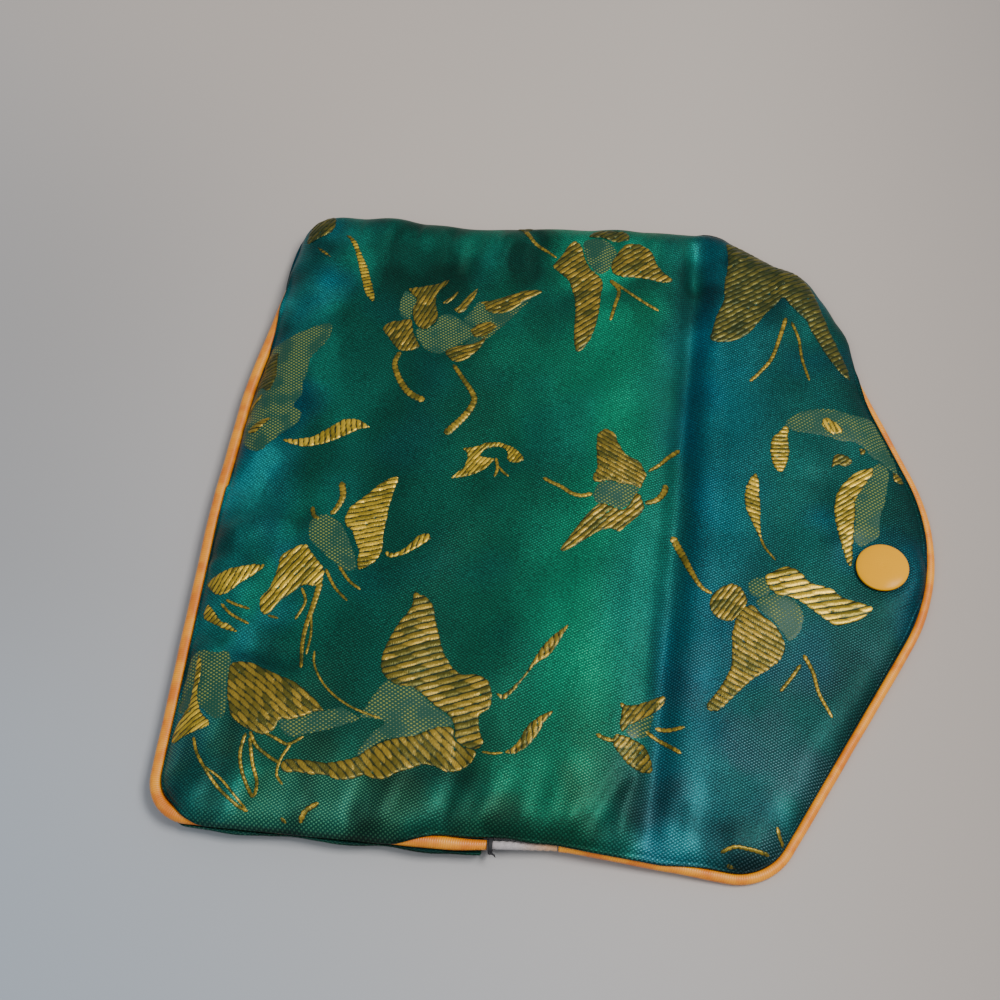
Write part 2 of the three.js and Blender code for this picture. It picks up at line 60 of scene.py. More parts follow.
EDGE_THICKNESS = 0.8
SEAM_GAP = 0.3
ROLL_WIDTH = 7.5
DOME_WIDTH = 50.0
DOME_SHARE = 0.2
PIPING_RADIUS = 1.45
FLAP_PIPING = 0.82
CORD_RADIUS = 0.9
THREAD_RADIUS = 0.35
BARE_FROM = 0.684
BARE_TO = 0.82
CAP_RADIUS = 6.0
CAP_HEIGHT = 1.6
POST_RADIUS = 1.7
RING_RADIUS = 5.0
RING_THICKNESS = 1.0
PRESSED_WALL = 1.5
STUD_SETBACK = 11.4
STUD_OFFSET = 4.5
STUD_DROP = 2.3
SOCKET_DEPTH = 2.1
BALL_RADIUS = 2.0
CLEAR = PIPING_RADIUS + SEAM_GAP

# Sizes that only the scene has, in millimetres: the seam line's steps, the cloth, the cords and the figures
ARC_STEP = 1.2
LINE_STEP = 2.0
RIPPLE = 0.15
RIM_BULGE = 0.16
SEWN_WIDTH = 1.5
HANG_WIDTH = 2.0
GATHER_WIDTH = 4.0
PIPING_TWIST = 0.9
CORD_LAY = 3.4
RIB_HEIGHT = 0.28
FIGURE_EDGE = 0.45
MESH_EDGE = 0.6
STRAND = 1.15
FRONT_LIFT = 0.12

# Figures stop this far from the cloth's edge, what is beyond sinks this deep, and the front's are pressed
# flat to this share of their height
FIGURE_MARGIN = 0.35
OFF_DEPTH = 0.5
FRONT_SHARE = 0.3

# The seam line's corners: along, across, radius in millimetres
CORNERS = {
    "near_bottom": (0.022, 0.0, 9.0),
    "near_mouth": (0.64, 0.006, 60.0),
    "near_waist": (0.84, 0.02, 60.0),
    "near_flap": (1.385, 0.003, 12.5),
    "tip": (2.0, 0.485, 52.0),
    "far_shoulder": (1.43, 0.943, 26.0),
    "far_fold": (1.03, 1.022, 9.0),
    "far_dip": (0.45, 0.99, 250.0),
    "far_bottom": (0.07, 1.0, 9.0),
    "bottom_ease": (0.008, 0.68, 150.0),
    "bottom_bow": (0.0, 0.46, 250.0),
}

# Shares along the purse
BODY_CROWN = [(0.0, 0.86), (0.12, 0.97), (0.45, 1.0), (0.78, 0.98), (0.9, 0.88), (1.0, 0.7)]
FLAP_CROWN = [(1.0, 0.93), (1.07, 1.0), (1.3, 0.92), (1.65, 0.76), (1.95, 0.62)]
SEAM_LIFT = [(0.0, 1.0), (0.62, 1.0), (0.86, 0.72), (1.05, 0.35), (1.3, 0.0)]
BACK_NEAR_LIP = [(0.05, -0.9), (0.13, 0.9), (0.5, 0.9), (0.6, -0.7), (0.71, -0.7), (0.78, 0.0), (0.88, 0.45),
                 (1.0, 0.35), (1.2, -0.5)]
FRONT_NEAR_LIP = [(0.04, -1), (0.1, 1.1), (0.66, 1.1)]
FAR_LIP = [(0.0, 0.86), (0.3, 0.9), (1.0, 0.9), (1.7, 0.79)]
ROLLED_LIP = 1.6
EDGE_LIP = [(0.0, -1.0), (1.1, -1.0), (1.3, -0.45)]

# How far the far edge's rolled cloth wanders out of line: along, across, reach in mm, amount in mm
BACK_WANDER = {
    "corner_nip": (0.04, 0.93, 11.0, -1.3),
    "corner_nip_low": (0.05, 0.865, 7.0, -1.0),
    "far_swell_a": (0.26, 1.0, 9.0, 1.5),
    "far_swell_b": (0.37, 1.0, 8.0, 0.3),
    "far_nip": (0.46, 1.0, 9.0, -0.4),
    "far_swell_c": (0.64, 1.0, 10.0, 0.4),
    "far_swell_d": (0.79, 1.0, 8.0, 0.9),
    "fold_swell": (1.01, 1.01, 6.0, 1.3),
    "fold_nip": (0.93, 1.01, 6.0, -0.3),
    "shoulder_swell": (1.38, 0.96, 8.0, 1.2),
    "flap_swell": (1.6, 0.86, 8.0, 0.8),
    "flap_nip": (1.74, 0.77, 8.0, -0.4),
}

# The same for the front's near edge, which shows under the back
FRONT_WANDER = {
    "corner_nip": (0.1, 0.0, 6.0, -0.3),
    "swell_a": (0.2, 0.0, 7.0, 0.45),
    "nip_a": (0.31, 0.0, 6.0, -0.35),
    "swell_b": (0.41, 0.0, 7.0, 0.4),
    "nip_b": (0.49, 0.0, 5.0, -0.3),
    "swell_c": (0.57, 0.0, 6.0, 0.4),
}
BACK_LIP = (BACK_NEAR_LIP, BACK_WANDER)
FRONT_LIP = (FRONT_NEAR_LIP, FRONT_WANDER)

# The solids' folds, a little softer, and the line pressed in at the fold:
# from (along, across), to (along, across), reach, lift
FOLDS = {
    "fold_valley": ((0.988, 0.0), (0.985, 1.01), 0.026, -0.1),
    "fold_ridge": ((1.09, 0.08), (1.04, 0.96), 0.03, 0.035),
    "crest_before_fold": ((0.86, 0.16), (0.86, 0.86), 0.06, 0.06),
    "fold_line": ((0.99, 0.0), (0.982, 1.0), 0.016, -0.018),
    "hollow_in_middle": ((0.58, 0.12), (0.6, 0.72), 0.07, -0.07),
    "bottom_dent_far": ((0.02, 0.51), (0.2, 0.45), 0.03, -0.14),
    "bottom_bulge": ((0.03, 0.4), (0.1, 0.42), 0.03, 0.07),
    "bottom_dent_near": ((0.02, 0.27), (0.24, 0.22), 0.026, -0.13),
    "stud_crease": ((1.49, 0.59), (1.54, 0.51), 0.03, -0.035),
    "waist_pucker": ((0.87, 0.02), (0.93, 0.11), 0.02, -0.08),
    "waist_pucker_fold": ((1.06, 0.01), (1.07, 0.08), 0.018, -0.035),
    "far_pucker": ((0.47, 0.99), (0.46, 0.9), 0.02, -0.08),
    "far_pucker_fold": ((0.97, 1.0), (0.98, 0.92), 0.02, -0.07),
}

# All gathers are raised by the first factor, and bend sideways by the second share of their length
GATHER_LIFT = 1.35
GATHER_BEND = 0.036

# Finer gathers that only the cloth shows, in the same form; each starts at the seam and dies away
CREASES = {
    "near_a": ((0.1, 0.0), (0.15, 0.12), 0.022, 0.05),
    "near_b": ((0.2, 0.0), (0.27, 0.14), 0.024, -0.06),
    "near_c": ((0.31, 0.0), (0.35, 0.12), 0.02, 0.045),
    "near_d": ((0.41, 0.0), (0.46, 0.17), 0.026, -0.07),
    "near_e": ((0.47, 0.0), (0.52, 0.13), 0.022, 0.06),
    "near_f": ((0.58, 0.0), (0.65, 0.2), 0.026, -0.08),
    "near_g": ((0.66, 0.0), (0.71, 0.14), 0.02, 0.06),
    "near_h": ((0.76, 0.0), (0.8, 0.16), 0.022, -0.06),
    "near_i": ((0.83, 0.01), (0.86, 0.12), 0.017, 0.06),
    "near_j": ((0.93, 0.02), (0.95, 0.15), 0.019, 0.05),
    "near_k": ((1.16, 0.0), (1.12, 0.16), 0.026, -0.03),
    "near_l": ((1.28, 0.0), (1.24, 0.12), 0.024, 0.05),
    "far_a": ((0.14, 1.0), (0.13, 0.9), 0.022, -0.06),
    "far_b": ((0.2, 1.0), (0.2, 0.88), 0.02, 0.05),
    "far_c": ((0.27, 0.99), (0.28, 0.84), 0.022, -0.07),
    "far_d": ((0.34, 0.99), (0.33, 0.9), 0.018, 0.06),
    "far_e": ((0.41, 0.99), (0.42, 0.83), 0.022, -0.07),
    "far_f": ((0.54, 0.99), (0.52, 0.87), 0.02, 0.05),
    "far_g": ((0.61, 0.99), (0.62, 0.85), 0.024, -0.06),
    "far_h": ((0.7, 1.0), (0.69, 0.88), 0.022, 0.05),
    "far_i": ((0.79, 1.0), (0.77, 0.84), 0.024, -0.06),
    "far_j": ((0.88, 1.01), (0.87, 0.88), 0.02, 0.07),
    "far_k": ((1.12, 1.01), (1.1, 0.86), 0.026, 0.06),
    "far_l": ((1.28, 0.98), (1.22, 0.84), 0.026, -0.06),
    "left_a": ((0.0, 0.9), (0.12, 0.87), 0.022, -0.08),
    "left_b": ((0.0, 0.8), (0.1, 0.79), 0.022, 0.05),
    "left_c": ((0.0, 0.7), (0.14, 0.68), 0.022, -0.06),
    "left_d": ((0.0, 0.6), (0.12, 0.58), 0.02, 0.06),
    "left_e": ((0.0, 0.36), (0.13, 0.37), 0.022, 0.06),
    "left_f": ((0.0, 0.16), (0.12, 0.15), 0.022, -0.05),
    "tip_a": ((1.96, 0.6), (1.7, 0.6), 0.022, -0.035),
    "tip_b": ((1.97, 0.36), (1.74, 0.36), 0.024, -0.03),
    "right_a": ((1.62, 0.86), (1.5, 0.74), 0.022, 0.04),
    "right_b": ((1.62, 0.14), (1.5, 0.22), 0.026, -0.035),
}

# Woven figures in plan millimetres, charted: tone, the ribs' direction in degrees and pitch, outline
GOLD_FIGURES = {
    "leaf_upper_left": ("bright", 20, 1.1, [
        (17, 160.3), (19, 158.5), (21, 154.5), (22.5, 150.5), (24.5, 145), (26, 140.8), (28.3, 138.2),
        (29, 139), (28, 142.5), (26.5, 146), (25, 150), (23, 153.5), (21, 157.5), (19, 160)
    ]),
    "corner_leaf": ("dark", 60, 1.1, [
        (7, 156.5), (13.5, 160.5), (14, 164), (13, 168), (10.5, 168.3), (8, 166.5), (6.8, 162)
    ]),
    "corner_bit": ("mid", 30, 1.1, [(10.5, 155.5), (13, 154.5), (15.3, 152), (13.5, 152.8), (11.5, 154)]),
    "a_top": ("mid", 70, 1.1, [
        (36.5, 143.5), (40, 144.3), (44, 145.5), (47.2, 148), (46.5, 145.5), (44.5, 142.5), (44.5, 139.5),
        (46, 135.5), (45.5, 133), (43.5, 130.5), (41, 131.5), (39.5, 134), (39, 137), (40, 140), (38, 142)
    ]),
    "a_lower_left": ("mid", 70, 1.1, [
        (32, 130.5), (33.5, 132.5), (37.5, 133.5), (39.5, 134), (40, 131), (41, 128.5), (43, 125.5),
        (41, 124), (38, 123.7), (36.5, 125), (34.5, 127.5)
    ]),
    "a_wing_top": ("mid", 35, 1.1, [
        (55, 141), (60, 142.5), (65, 145), (70, 146.5), (71.8, 145.8), (66, 141), (63.5, 138.2), (60, 137.5),
        (57.5, 138.5), (57, 140.5)
    ]),
    "a_wing_middle": ("mid", 35, 1.1, [
        (54.5, 131.8), (56.5, 134.5), (60, 134.8), (61.5, 133.5), (59.3, 130.6), (57, 129.4), (55.5, 129.8)
    ]),
    "a_leaf_a": ("mid", 60, 1.0, [(46, 139.5), (47.5, 141), (50.3, 145), (49.5, 141.8), (47.5, 139.2)]),
    "a_leaf_b": ("mid", 60, 1.0, [
        (49, 138), (50.5, 138.5), (52, 142), (55, 146), (54.2, 142), (52.4, 137.6), (51, 136.6)
    ]),
    "a_band": ("mid", 30, 1.1, [
        (49, 124), (52, 121), (55, 122), (58, 126), (60, 132), (57, 128), (54, 127), (50, 125.5)
    ]),
    "b_upper": ("dark", 20, 1.1, [
        (2.6, 110), (2.8, 117), (4.5, 121.5), (6.8, 122.5), (7.5, 118.5), (8.2, 113), (7.5, 109.5),
        (6, 109.5), (4.5, 111)
    ]),
    "b_leaf": ("mid", 50, 1.0, [(1.9, 102.5), (2.5, 105.5), (4.5, 108.8), (5.8, 109), (4.5, 106), (3, 103)]),
    "b_lower": ("mid", 0, 1.0, [(3.5, 97.5), (6.5, 100), (9.8, 101.3), (8.5, 99), (6, 96.3)]),
    "b_long_leaf": ("bright", 100, 1.3, [
        (13, 94.8), (16, 95.2), (20, 96), (23, 98), (25.5, 100.5), (28, 102.3), (31, 102.6), (33.5, 101),
        (34.8, 100.3), (32, 99.6), (29.5, 97.8), (26, 95.5), (22.5, 94), (19, 93.3), (16, 93.8)
    ]),
    "c_left": ("mid", 45, 1.35, [
        (72.5, 154.5), (74.5, 157.5), (75.7, 161), (77.5, 163.5), (79.5, 162), (81, 157.5), (82.5, 154.5),
        (85, 152.3), (86.3, 151), (86.2, 146), (86.3, 141), (86, 136), (85, 131.5), (83.5, 128.3),
        (81.8, 127.2), (80.9, 130), (80.4, 135), (80.2, 140), (79.7, 144), (78.5, 147.5), (77.5, 150),
        (75, 152.2)
    ]),
    "c_right": ("mid", 45, 1.35, [
        (89, 161), (91, 164), (95, 164.5), (98, 161.5), (99.5, 158), (101, 156), (104.5, 153.5),
        (101.5, 152.2), (98, 152.8), (95, 153), (91, 152.5), (88.5, 153.5), (87.5, 156)
    ]),
    "c_top": ("dark", 45, 1.2, [
        (80.5, 165), (82.5, 168.6), (91, 168.6), (92, 165), (88, 164.3), (84, 165.3)
    ]),
    "c_feeler_top": ("dark", 45, 1.1, [(62, 167.2), (62.2, 168.6), (66.2, 168.8), (66, 166.6), (64, 166)]),
    "d_wing": ("dark", 40, 1.3, [
        (116.3, 170), (117.2, 165), (117.5, 160), (116.8, 155), (117.3, 150), (115.8, 145), (114.8, 140),
        (114.3, 136.3), (117, 135.8), (121, 137), (124, 139.5), (126.3, 143.5), (128, 147), (130.5, 150),
        (132, 153), (134, 150), (136.5, 147.5), (138, 146.5), (139.5, 143), (141.5, 139.5), (144, 135),
        (147, 131), (150, 129.2), (149, 133), (146.8, 138), (145, 142), (143, 147), (141, 153), (139.5, 157),
        (136.5, 161.5), (132, 165), (127, 167.5), (121, 169)
    ]),
    "e_bug": ("bright", 60, 0.9, [
        (57.6, 96.3), (59, 97), (61.5, 98), (64, 99.5), (66.5, 99.5), (68.5, 98.8), (70.5, 98), (72, 96.5),
        (73.2, 94.6), (71.5, 93.8), (69.5, 93.8), (68.5, 95), (68.8, 96.5), (67.5, 98), (65.5, 98.2),
        (63, 97), (62, 95.2), (64, 94.8), (66, 94.8), (65, 93), (63.8, 91.2), (61.5, 89.5), (58.5, 88.2),
        (56, 87.5), (57.5, 89.5), (59, 91.5), (59.3, 93.5), (59, 95.5)
    ]),
    "f_upper": ("mid", -25, 1.1, [
        (89.5, 104), (91.5, 105.5), (93.5, 104.5), (95, 101.5), (96.5, 98.8), (98.5, 97.8), (100, 97.5),
        (101.5, 95.5), (102.3, 93.5), (101.5, 91.5), (101.2, 89.5), (99, 90.5), (96, 90.5), (93.5, 91),
        (91.5, 90), (90, 90), (89.5, 91.5), (90.5, 93.5), (90, 96.5), (89.6, 100)
    ]),
    "f_lower": ("mid", 50, 1.2, [
        (100, 88.8), (101.2, 88.3), (102.2, 86), (102.5, 84.5), (101, 82), (99, 79.8), (97.3, 77.3),
        (95.5, 78.2), (93, 77.2), (90.5, 75.2), (88, 72.8), (85.8, 71), (84.2, 70.5), (84.4, 72), (86, 75),
        (88, 79), (90.3, 82.5), (92, 84.6), (94.5, 84.3), (97.5, 83.3), (99, 85.5)
    ]),
    "g_leaf": ("bright", 120, 1.1, [
        (143.8, 117.3), (146, 116), (148.5, 113.5), (146.5, 112), (144, 112.8), (142.5, 115)
    ]),
    "g_drooping_leaf": ("bright", 10, 1.1, [
        (131.2, 109.5), (132.8, 111), (134.2, 113.5), (135.3, 112), (134.8, 109.8), (135.5, 106),
        (135.3, 103), (134.2, 99.5), (132.5, 99.8), (131.2, 102.5), (130.8, 106)
    ]),
    "g_bit_a": ("mid", 40, 1.0, [
        (145.5, 102.5), (146, 106.5), (148.5, 107.3), (151, 105.5), (149, 103.5), (147, 104)
    ]),
    "g_bit_b": ("mid", 40, 1.0, [(151.8, 109.5), (153.8, 109.2), (153.5, 107.5), (152.3, 107.5)]),
    "g_bit_c": ("mid", 40, 1.0, [(160, 104.5), (162.5, 103), (163, 101), (160.5, 101)]),
    "g_wing": ("bright", 40, 1.1, [
        (155.5, 104.5), (153.5, 103.8), (151, 102.3), (148.5, 99), (147, 96), (146.5, 92.5), (146.6, 89),
        (147.3, 86), (148, 83), (149, 79.5), (149.8, 77), (150.8, 76), (151.3, 78.5), (151, 81.5),
        (151.3, 84.5), (151.2, 88), (151.5, 91), (151.3, 94), (152.8, 97.5), (154.5, 100.5), (155.5, 102.5)
    ]),
    "h_leaf": ("bright", -15, 1.2, [
        (127.8, 99), (128.6, 97), (128.8, 94), (129.3, 90.5), (129.5, 87), (129.8, 83.5), (130, 80.5),
        (129, 82), (127.8, 84.5), (126.3, 87.5), (125.5, 91), (125.5, 94), (126.5, 97)
    ]),
    "i_head": ("mid", 60, 1.1, [
        (119, 62), (119.5, 65), (122, 67.5), (124.5, 68.3), (126.5, 67), (127.7, 64.5), (127.3, 62.5),
        (126, 60.5), (124.5, 58.3), (122, 58.3), (120, 59.8)
    ]),
    "i_lower_wing": ("mid", -25, 1.3, [
        (125.5, 60.5), (127, 62.5), (129, 63.5), (131, 61), (133.5, 59.5), (136, 56.5), (136.8, 53),
        (135.5, 50), (133, 47.5), (130, 45), (127.5, 42), (125, 38.8), (122.8, 36.2), (120.8, 36),
        (119.8, 37), (121.3, 39.5), (123.5, 43.5), (125, 47.5), (125, 51), (124.5, 55)
    ]),
    "i_right_wing": ("bright", 20, 1.6, [
        (131, 71), (133, 72.5), (136, 74.5), (139, 73.5), (141.5, 70.5), (146, 70.2), (149, 68),
        (152.5, 67.5), (156.2, 66.5), (155, 64.5), (152.5, 62.5), (149.5, 61), (147.5, 60.5), (145, 62),
        (142, 64), (139.5, 65.5), (137, 66.5), (134.5, 66), (132, 68)
    ]),
    "j_upper": ("bright", 18, 1.2, [
        (44, 87), (42, 86.3), (40, 85), (38, 82.5), (35.5, 79.5), (33.5, 77), (32.8, 74), (33.8, 72),
        (35.5, 71), (36.5, 68.5), (38, 66), (37.8, 63.5), (38.5, 60.8), (40.5, 61.8), (42.5, 64), (43.5, 67),
        (42.8, 70), (43, 74.5), (43, 78), (43.3, 82)
    ]),
    "j_leaf": ("bright", 80, 1.1, [
        (43.5, 66.5), (46, 65.8), (48.3, 67.2), (49.8, 69.3), (51, 71.3), (53, 72.2), (54.5, 71), (53, 69.3),
        (51, 67.5), (48.5, 65.6), (45, 64.5)
    ]),
    "j_lower_left": ("bright", 60, 1.3, [
        (19.5, 62), (20.5, 64), (23.5, 66), (25.5, 66.5), (26.5, 65), (29, 62.5), (31, 60), (31, 57),
        (29.5, 55.5), (27, 56), (25.5, 54.5), (23.5, 52.5), (21.5, 50.5), (20.5, 48), (19, 47.3), (17.5, 49),
        (17.3, 52), (19, 54), (19.5, 57), (20, 60)
    ]),
    "k_leaf": ("bright", 70, 1.1, [
        (3, 55.5), (6, 57.5), (10, 59), (14, 60), (17.3, 60.3), (15, 57.5), (12, 55), (9.5, 52), (7, 51.5),
        (4.5, 53.5)
    ]),
    "k_bit": ("bright", 40, 1.0, [
        (4, 46.5), (5, 50), (7, 48), (9, 45.5), (12, 44.5), (14, 43), (11, 43.3), (7.5, 44.8)
    ]),
    "l_upper": ("mid", 25, 1.6, [
        (52.3, 57.2), (54, 55.8), (55.2, 56), (57.3, 54), (58.2, 50.5), (59.8, 46.5), (61, 43), (63.5, 39.3),
        (66, 37.3), (69.5, 38), (72.3, 36.8), (73.5, 33.5), (73.6, 30), (71, 28.5), (71.8, 25), (73.2, 22),
        (72, 20.3), (68.5, 21), (66.5, 22.5), (66.3, 25.5), (64.2, 28), (61, 29.6), (58.3, 31.6),
        (55.6, 33.3), (52.2, 33), (49.5, 34.6), (48.2, 36), (47.7, 39.5), (48.3, 43), (49.3, 46.5),
        (50.5, 49), (51.8, 51.5), (52.5, 54)
    ]),
    "l_lower": ("mid", -40, 1.5, [
        (72, 20.3), (71.5, 18), (70, 16), (66.5, 14.5), (63.5, 15.7), (61, 16), (58.5, 14.3), (55.5, 13),
        (53.5, 11.2), (51, 11), (48.5, 12), (46.5, 10.5), (43, 10), (40, 11), (37, 10.5), (34, 11),
        (31.5, 10.3), (30, 11.5), (30.5, 13.5), (33, 14), (36.5, 13.8), (40, 13.5), (43, 14.5), (46, 15.5),
        (48.5, 18), (51.5, 20), (54.5, 21), (58, 22), (61, 24), (64, 25), (66.3, 25), (66.5, 22.5), (68.5, 21)
    ]),
    "l_tail_a": ("mid", 100, 1.2, [
        (73.8, 34), (76, 32), (78, 34.5), (80, 38), (82, 41.5), (85, 44), (86.5, 47), (88, 51), (88.7, 52.5),
        (86.5, 50.5), (84, 47.5), (82, 44), (81, 41), (79, 37.5), (77, 34.8), (75.8, 33.5)
    ]),
    "l_tail_b": ("mid", 100, 1.2, [
        (77.5, 20.2), (80, 20), (82.5, 22), (84.5, 25), (85.5, 28), (87.8, 31.5), (85.5, 30.5), (83, 28.5),
        (81.5, 26), (80.5, 23), (79, 21.2)
    ]),
    "m_strip": ("bright", 45, 1.1, [
        (5.5, 37.5), (7.3, 35), (8, 31), (7.8, 27.5), (9, 24.5), (10, 22.5), (13.3, 19.8), (11, 18.3),
        (8, 17), (5, 15), (3.8, 16.5), (4.5, 19), (5.3, 21.5), (6.8, 24.5), (6.3, 29), (6, 33)
    ]),
    "m_wing": ("mid", -35, 1.3, [
        (14, 35), (16, 35.5), (19, 35.5), (22, 34.3), (26, 32.8), (30, 31.5), (32.5, 30), (35, 28),
        (37.8, 25.3), (35.5, 25.3), (33, 23.5), (30.5, 22.5), (28, 22.5), (27.5, 20), (25.5, 18.3),
        (23, 18.8), (20, 20), (17, 22), (15.5, 25.5), (14.3, 30)
    ]),
    "n_upper": ("mid", 60, 1.1, [
        (101, 35.5), (103, 34.5), (105.5, 35.5), (108, 37.3), (110.2, 39.3), (111.5, 38.5), (110.3, 36),
        (108, 33.3), (105.5, 31), (103.8, 29.8), (102.5, 27.5), (101.5, 30), (102, 33)
    ]),
    "n_lower": ("mid", 60, 1.1, [
        (101, 27.5), (103, 27.3), (105, 27), (108, 26), (109.5, 23), (110, 20.8), (107.5, 19.8),
        (104.5, 20.8), (102.3, 22.8), (100.5, 25.3)
    ]),
    "tip_sprig_leaf": ("mid", 60, 1.0, [(126.8, 3.2), (128, 3), (129.5, 1.8), (128.3, 1.3), (127, 2)]),
}

# Figures in fine green and gold mesh: outline
MESH_FIGURES = {
    "a_left": [
        (36, 143), (38, 142), (40, 140), (39.2, 137), (39, 134), (37.5, 133.5), (35.8, 135), (35.5, 139)
    ],
    "a_body": [
        (41, 131.5), (43.5, 130.3), (45.8, 132.8), (46.2, 135.8), (49, 136.5), (52, 135), (54, 133.5),
        (57, 131.5), (54.5, 128), (52, 126.5), (49.5, 124), (47, 123.5), (44.5, 124.6), (43, 126), (41, 129)
    ],
    "a_wing": [
        (52, 135), (54, 138), (55, 141), (57, 141.6), (57.5, 138.5), (60, 137.5), (63.5, 138.2), (66, 141),
        (71.8, 145.8), (68, 142), (65, 137), (60, 130), (55, 123.5), (52, 124.5), (54.5, 128), (57, 131.5),
        (54, 133.5)
    ],
    "b_wing": [
        (4, 124), (7, 125), (12, 128), (17, 131), (19.5, 131), (19.5, 126), (17, 122), (15.5, 119),
        (16, 115.5), (15.2, 112), (16, 108.5), (14, 105), (17, 103.5), (16.5, 100), (14, 97.5), (11, 94),
        (8.5, 91), (5, 92.5), (3, 95), (3, 103), (3.3, 113)
    ],
    "c_body": [
        (79.5, 163.5), (83, 165), (87, 164), (89, 161), (88.5, 157), (86.5, 153.5), (84.5, 153), (82.5, 155),
        (81, 158)
    ],
    "f_body": [
        (91, 90), (93.5, 91), (96, 90.5), (99, 90.5), (101, 89.5), (100, 87.5), (98.5, 85), (97, 83.5),
        (94, 84.5), (91.5, 84.3), (90, 86)
    ],
    "g_upper": [
        (133.8, 112.5), (134.5, 115), (138, 118), (142, 119.3), (146.5, 119.5), (151, 118.5), (155, 119),
        (157.5, 116), (159.5, 111.5), (161, 107), (161.5, 103), (159, 104.5), (157, 106.5), (155, 107),
        (153.5, 109.5), (151, 111), (147.5, 110.5), (144.5, 111.5), (140.5, 111.8), (136, 111.8)
    ],
    "g_right": [
        (151, 95), (152.5, 98), (154.5, 101.5), (155.5, 104.5), (157, 106.5), (159.5, 104), (158.8, 99),
        (158.3, 94), (157, 90), (157.2, 85), (155.5, 83.5), (152.5, 81.5), (151, 84), (151.5, 89)
    ],
    "i_neck": [(127.5, 69), (129.5, 70.5), (131.5, 70.5), (133, 66.5), (130, 65), (127.8, 66)],
    "i_body": [
        (129, 64.5), (133, 66.5), (136, 66.3), (139, 65.3), (140.5, 62), (140, 58), (137.5, 55), (136, 57),
        (133.5, 60), (131, 61.5)
    ],
    "j_body": [
        (25, 74), (28.5, 75), (31, 74), (33.5, 71.5), (35.5, 68), (37, 65), (38.3, 61), (36, 60.3), (33, 62),
        (30.5, 63.8), (28, 66), (26, 67.5), (25, 70)
    ],
    "l_body": [
        (49.5, 34.5), (52, 33.2), (55.5, 33.5), (58, 31.8), (60.5, 29.8), (64, 28), (66.5, 25.5), (63, 24.5),
        (60, 23.5), (57.5, 21.5), (54, 21), (51, 20), (48.5, 17.5), (46, 15.5), (47, 19), (49, 22),
        (51.5, 24.5), (47.5, 25), (45, 24.5)
    ],
    "m_left": [
        (4, 37.5), (7, 38), (10, 37), (13, 38), (14.3, 35), (14.2, 30), (15.5, 25), (15.5, 21.5), (13, 21),
        (10, 23.5), (8, 24.5), (5, 22), (3.5, 24), (3.8, 31)
    ],
    "m_right": [
        (27.8, 22.5), (30.5, 22.5), (33, 23.5), (35.5, 25.3), (38, 25.8), (41, 27), (44.5, 25), (46, 24.3),
        (42, 22.5), (38, 20.8), (34, 19.5), (31, 18.5), (28.5, 20)
    ],
    "n_body": [
        (103.5, 29.5), (105.5, 31), (107.5, 33), (109, 34.5), (108.5, 31), (107.8, 28), (105, 27),
        (103.2, 27.8)
    ],
}

